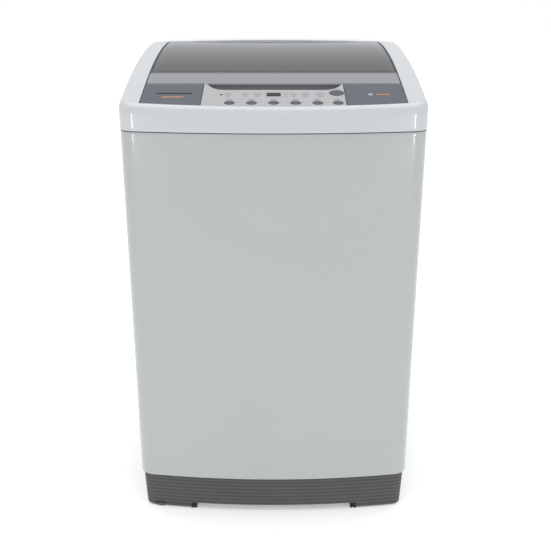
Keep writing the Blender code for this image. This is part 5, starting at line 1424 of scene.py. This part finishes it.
def make_drain():
    """The drain valve, the actuator that draws it open, the inner hose and the outlet."""
    low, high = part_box("drain_valve")
    bm = bmesh.new()
    turn = Matrix.Translation((low.x, LINE_Y, LINE_Z)) @ Matrix.Rotation(pi / 2, 4, "Y")
    profile = soften([(0.003, 0.0), (0.0165, 0.0), (0.019, 0.0025), (0.019, 0.01), (0.0178, 0.011),
                      (0.0178, 0.044), (0.019, 0.045), (0.019, 0.0525), (0.017, 0.055),
                      (0.0000012, 0.055), (0.0000011, 0.022), (0.003, 0.021)], 0.001)
    lathe(bm, profile, 48, matrix=turn)
    rod(bm, (0.166, LINE_Y, LINE_Z + 0.012), (0.166, LINE_Y, high.z), 0.014, 40, 0.0008)
    rod(bm, (0.186, LINE_Y, low.z), (0.186, LINE_Y, LINE_Z - 0.012), 0.0095, 32, 0.0008)
    for a in turns(6):
        y, z = LINE_Y + 0.016 * cos(a), LINE_Z + 0.016 * sin(a)
        rod(bm, (0.1515, y, z), (0.1535, y, z), 0.002, 12, 0.0003)
    piece("valve_body", bm, TUB, "tub", "tub_plastic", ["drain_valve"])
    low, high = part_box("drain_actuator")
    bm = bmesh.new()
    block(bm, low, high, 0.003, 3)
    for z in spread(low.z + 0.007, high.z - 0.009, 5):
        block(bm, (low.x + 0.006, low.y - 0.0006, z - 0.001), (high.x - 0.008, low.y + 0.001, z + 0.001),
              0.0004, 1)
    actuator = piece("actuator_case", bm, TUB, "tub", "tub_plastic", ["drain_actuator"])
    cut_rods(actuator, [((-0.105, LINE_Y, LINE_Z), (-0.08, LINE_Y, LINE_Z), 0.0028)], 24)
    bm = bmesh.new()
    x, z = OUTLET.x, OUTLET.z
    path = smooth_path([(0.186, LINE_Y, 0.1647), (0.186, LINE_Y, 0.148), (0.1885, LINE_Y + 0.018, 0.1335),
                        (0.199, LINE_Y + 0.062, 0.1285), (x - 0.001, LINE_Y + 0.112, z), (x, 0.2447, z)], 150)
    tube(bm, path, 0.0095, 24, ribs=0.0009, rib_every=3)
    hose = piece("corrugated_hose", bm, BELT_RUBBER, None, None, smooth=60)
    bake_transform(hose)
    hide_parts("inner_drain_hose")
    bm = bmesh.new()
    turn = Matrix.Translation((x, BACK_Y, z)) @ Matrix.Rotation(-pi / 2, 4, "X")
    profile = soften([(0.01, 0.0095), (0.01, 0.002), (0.014, 0.002), (0.014, -0.0005), (0.01, -0.0005),
                      (0.01, -0.02), (0.0072, -0.02), (0.0072, 0.0095)], 0.0006)
    lathe(bm, profile, 40, matrix=turn)
    for h in (0.0045, 0.0072):
        lathe(bm, [(0.0098, h - 0.0008), (0.0106, h), (0.0098, h + 0.0008)], 40, matrix=turn)
    piece("outlet_stub", bm, TUB, "cabinet", "tub_plastic", ["drain_outlet"])


# ---------------------------------------------------------------- water, detergent and power
def make_drawer():
    """The detergent drawer, and the housing that it slides out of."""
    low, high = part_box("detergent_drawer")
    bm = bmesh.new()
    block(bm, (low.x, low.y, low.z), (high.x, low.y + 0.0035, high.z), 0.0014, 3)
    block(bm, (-0.03, low.y - 0.0002, high.z - 0.006), (0.03, low.y + 0.002, high.z - 0.003), 0.0012, 3)
    floor, top, rear = low.z + 0.0025, high.z - 0.002, high.y
    block(bm, (-0.0545, low.y + 0.0025, floor), (0.0545, rear, floor + 0.002), 0.0006, 1)
    for a, b in ((-0.0545, -0.0525), (-0.001, 0.001), (0.0525, 0.0545)):
        block(bm, (a, low.y + 0.0025, floor), (b, rear, top), 0.0005, 1)
    block(bm, (-0.0545, rear - 0.002, floor), (0.0545, rear, top), 0.0005, 1)
    for i in range(5):
        block(bm, (0.01 + i * 0.008, low.y + 0.02, floor + 0.0015), (0.0115 + i * 0.008, rear - 0.006,
                                                                     floor + 0.0032), 0.0004, 1)
    piece("drawer_body", bm, WHITE_FINE, "detergent_drawer", "white_plastic", ["detergent_drawer"])
    low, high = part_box("drawer_housing")
    bm = bmesh.new()
    walls = (((low.x, low.y, low.z), (high.x, high.y, low.z + 0.003)), ((low.x, low.y, high.z - 0.003), high),
             (low, (low.x + 0.006, high.y, high.z)), ((high.x - 0.006, low.y, low.z), high),
             ((low.x, high.y - 0.0025, low.z), high))
    for a, b in walls:
        block(bm, a, b, 0.0008, 2)
    for x in spread(low.x + 0.01, high.x - 0.01, 6):
        block(bm, (x - 0.0008, low.y + 0.004, high.z - 0.0006), (x + 0.0008, high.y - 0.004, high.z + 0.0016),
              0.0004, 1)
    rod(bm, (0.02, (low.y + high.y) / 2, high.z - 0.001), (0.02, (low.y + high.y) / 2, high.z + 0.008),
        0.0055, 24, 0.0006)
    piece("drawer_chamber", bm, WHITE_FINE, "cabinet", "white_plastic", ["drawer_housing"])


def make_inlet():
    """The inlet valve, its thread for the supply hose, and the strainer in it."""
    x, z = INLET.x, INLET.z
    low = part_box("inlet_valve")[0]
    bm = bmesh.new()
    block(bm, (x - 0.02, low.y, z - 0.016), (x + 0.02, 0.2605, z + 0.014), 0.0025, 3)
    rod(bm, (x, 0.251, low.z), (x, 0.251, z - 0.014), 0.0095, 32, 0.001)
    for i in range(7):
        lathe(bm, [(0.008, 0), (0.0099, 0.0004), (0.0099, 0.0012), (0.008, 0.0016)], 32, (x, 0.251),
              low.z + 0.004 + i * 0.0032)
    valve = piece("inlet_solenoid", bm, TUB, "cabinet", "tub_plastic", ["inlet_valve"])
    cut_rods(valve, [((x, 0.256, z), (x, 0.29, z), 0.0095)])
    turn = Matrix.Translation((x, 0.26, z)) @ Matrix.Rotation(-pi / 2, 4, "X")
    profile = [(0.0095, 0.0), (0.0128, 0.0)]
    for i in range(6):
        h = 0.0018 + i * 0.002
        profile += [(0.0122, h), (0.0132, h + 0.0008), (0.0132, h + 0.001), (0.0122, h + 0.0018)]
    profile += [(0.0128, 0.0145), (0.0122, 0.015), (0.0098, 0.015), (0.0095, 0.0146)]
    bm = bmesh.new()
    lathe(bm, profile, 48, matrix=turn)
    piece("inlet_thread", bm, WHITE_FINE, "cabinet", "tub_plastic")
    bm = bmesh.new()
    for off in spread(-0.0075, 0.0075, 9):
        reach = sqrt(0.0094**2 - off**2)
        block(bm, (x + off - 0.0003, 0.264, z - reach), (x + off + 0.0003, 0.2646, z + reach))
        block(bm, (x - reach, 0.2646, z + off - 0.0003), (x + reach, 0.2652, z + off + 0.0003))
    piece("inlet_strainer", bm, WIRE_STEEL, "cabinet", "stainless")


def make_level_sensor():
    """The round pressure switch, its hose nipple and its terminals."""
    low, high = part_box("level_sensor")
    x, y = (low.x + high.x) / 2, (low.y + high.y) / 2
    bm = bmesh.new()
    lathe(bm, soften([(0, 0.784), (0.0168, 0.784), (0.017, 0.79), (0.016, 0.791), (0.016, 0.796),
                      (0.017, 0.797), (0.0168, 0.803), (0.009, 0.8034), (0.0085, high.z), (0, high.z)],
                     0.0008), 48, (x, y))
    lathe(bm, [(0, low.z), (0.0022, low.z), (0.003, low.z + 0.002), (0.0024, low.z + 0.004),
               (0.003, low.z + 0.006), (0.0024, low.z + 0.008), (0.003, low.z + 0.01), (0.0028, 0.785),
               (0, 0.785)], 24, (x, y))
    for side in (-1, 1):
        block(bm, (x + side * 0.006 - 0.002, y - 0.0004, high.z - 0.004),
              (x + side * 0.006 + 0.002, y + 0.0004, high.z), 0.0002, 1)
    piece("pressure_switch", bm, WHITE_FINE, "cabinet", "white_plastic", ["level_sensor"])


def make_gland():
    """The rubber gland that the power cord comes out of."""
    bm = bmesh.new()
    turn = Matrix.Translation((GLAND.x, BACK_Y, GLAND.z)) @ Matrix.Rotation(-pi / 2, 4, "X")
    profile = soften([(0.006, 0.009), (0.0068, 0.0088), (0.0095, 0.0055), (0.012, 0.003), (0.012, -0.0005),
                      (0.008, -0.0005), (0.008, -0.01), (0.0045, -0.01), (0.0045, 0.009)], 0.0007)
    lathe(bm, profile, 40, matrix=turn)
    piece("cord_gland", bm, RUBBER, "cabinet", "rubber", ["power_gland"])


def make_board():
    """The control board behind the buttons, with its relays and its capacitors."""
    at = Matrix.Translation(on_panel(0, -0.225, 0.0125)) @ Matrix.Rotation(lean(-0.225), 4, "X")
    bm = bmesh.new()
    block(bm, (-0.1, -0.014, -0.0008), (0.1, 0.015, 0.0008), 0.0003, 1, at)
    piece("control_board", bm, BOARD, "cabinet", "panel_grey")
    bm = bmesh.new()
    for x in (-0.088, -0.07, 0.062, 0.084):
        block(bm, (x - 0.006, -0.01, -0.0068), (x + 0.006, 0.006, -0.0007), 0.0006, 2, at)
    for x in (-0.045, -0.03, 0.04):
        start, stop = at @ Vector((x, 0.004, -0.0007)), at @ Vector((x, 0.004, -0.0078))
        rod(bm, start, stop, 0.0035, 20, 0.0006)
    block(bm, (-0.012, -0.006, -0.003), (0.012, 0.008, -0.0007), 0.0004, 1, at)
    piece("board_parts", bm, MOTOR_BLACK, "cabinet", "panel_grey")


# ---------------------------------------------------------------- stage, lights and camera
def make_stage():
    """A pale floor that curves up a little far behind the machine."""
    bm = bmesh.new()
    reach, back, radius = 6.0, 2.6, 1.2
    profile = [(-4.0, 0.0), (back - radius, 0.0)]
    profile += [(back - radius + radius * sin(a), radius * (1 - cos(a))) for a in spread(0, pi / 3, 12)[1:]]
    loft(bm, [[(x, y, z) for y, z in profile] for x in (-reach, reach)], closed=False)
    floor = piece("studio_floor", bm, STAGE, None, None, smooth=60)
    floor.location.z = -0.0002


def area_light(name, power, size, location, target):
    data = bpy.data.lights.new(name, "AREA")
    data.shape = "RECTANGLE"
    data.size, data.size_y = size
    data.energy = power
    obj = bpy.data.objects.new(name, data)
    obj.location = location
    obj.rotation_euler = (Vector(target) - Vector(location)).to_track_quat("-Z", "Y").to_euler()
    bpy.context.scene.collection.objects.link(obj)


def make_lights():
    """A soft studio. The world is pure white where it is seen directly, and a little dimmer as a light."""
    world = bpy.data.worlds.new("studio")
    world.use_nodes = True
    tree = world.node_tree
    surround = tree.nodes["Background"]
    surround.inputs["Color"].default_value = (0.96, 0.98, 1.0, 1)
    surround.inputs["Strength"].default_value = 0.8
    backdrop = tree.nodes.new("ShaderNodeBackground")
    backdrop.inputs["Color"].default_value = (1, 1, 1, 1)
    seen = tree.nodes.new("ShaderNodeLightPath")
    mixed = tree.nodes.new("ShaderNodeMixShader")
    tree.links.new(seen.outputs["Is Camera Ray"], mixed.inputs["Fac"])
    tree.links.new(surround.outputs["Background"], mixed.inputs[1])
    tree.links.new(backdrop.outputs["Background"], mixed.inputs[2])
    tree.links.new(mixed.outputs["Shader"], tree.nodes["World Output"].inputs["Surface"])
    bpy.context.scene.world = world
    area_light("overhead", 50, (3.4, 3.4), (0, 0.1, 3.4), (0, 0.1, 0.4))
    area_light("front_fill", 3, (3.0, 1.6), (0, -3.6, 1.8), (0, 0, 0.4))
    for side in (-1, 1):
        area_light(f"edge_{side}", 5, (0.07, 0.9), (side * 2.0, -3.3, 0.45), (side * 0.24, -0.25, 0.8))


def make_camera():
    """The photograph's own view."""
    data = bpy.data.cameras.new("camera")
    data.sensor_width = 36.0
    data.lens = 56.21
    data.shift_x = 0.00345
    obj = bpy.data.objects.new("camera", data)
    obj.location = (0, -1.7192, 1.0854)
    obj.rotation_euler = (radians(90 - 21.29), 0, 0)
    bpy.context.scene.collection.objects.link(obj)
    bpy.context.scene.camera = obj


for make in (make_camera, make_lights, make_stage,
             make_cabinet, make_rear_cover, make_top_cover, make_hinge_cover, make_mouth_deck,
             make_panel_housing, make_scoop, make_inserts, make_buttons, make_display,
             make_lid, make_hinge_rod, make_base, make_feet, make_level_foot,
             make_suspension, make_tub, make_basket, make_lint_filter, make_pulsator, make_shaft,
             make_drive_plate, make_clutch, make_motor, make_pulleys, make_belt, make_brake, make_drain,
             make_drawer, make_inlet, make_level_sensor, make_gland, make_board):
    make()

bpy.context.scene.view_settings.view_transform = "Standard"
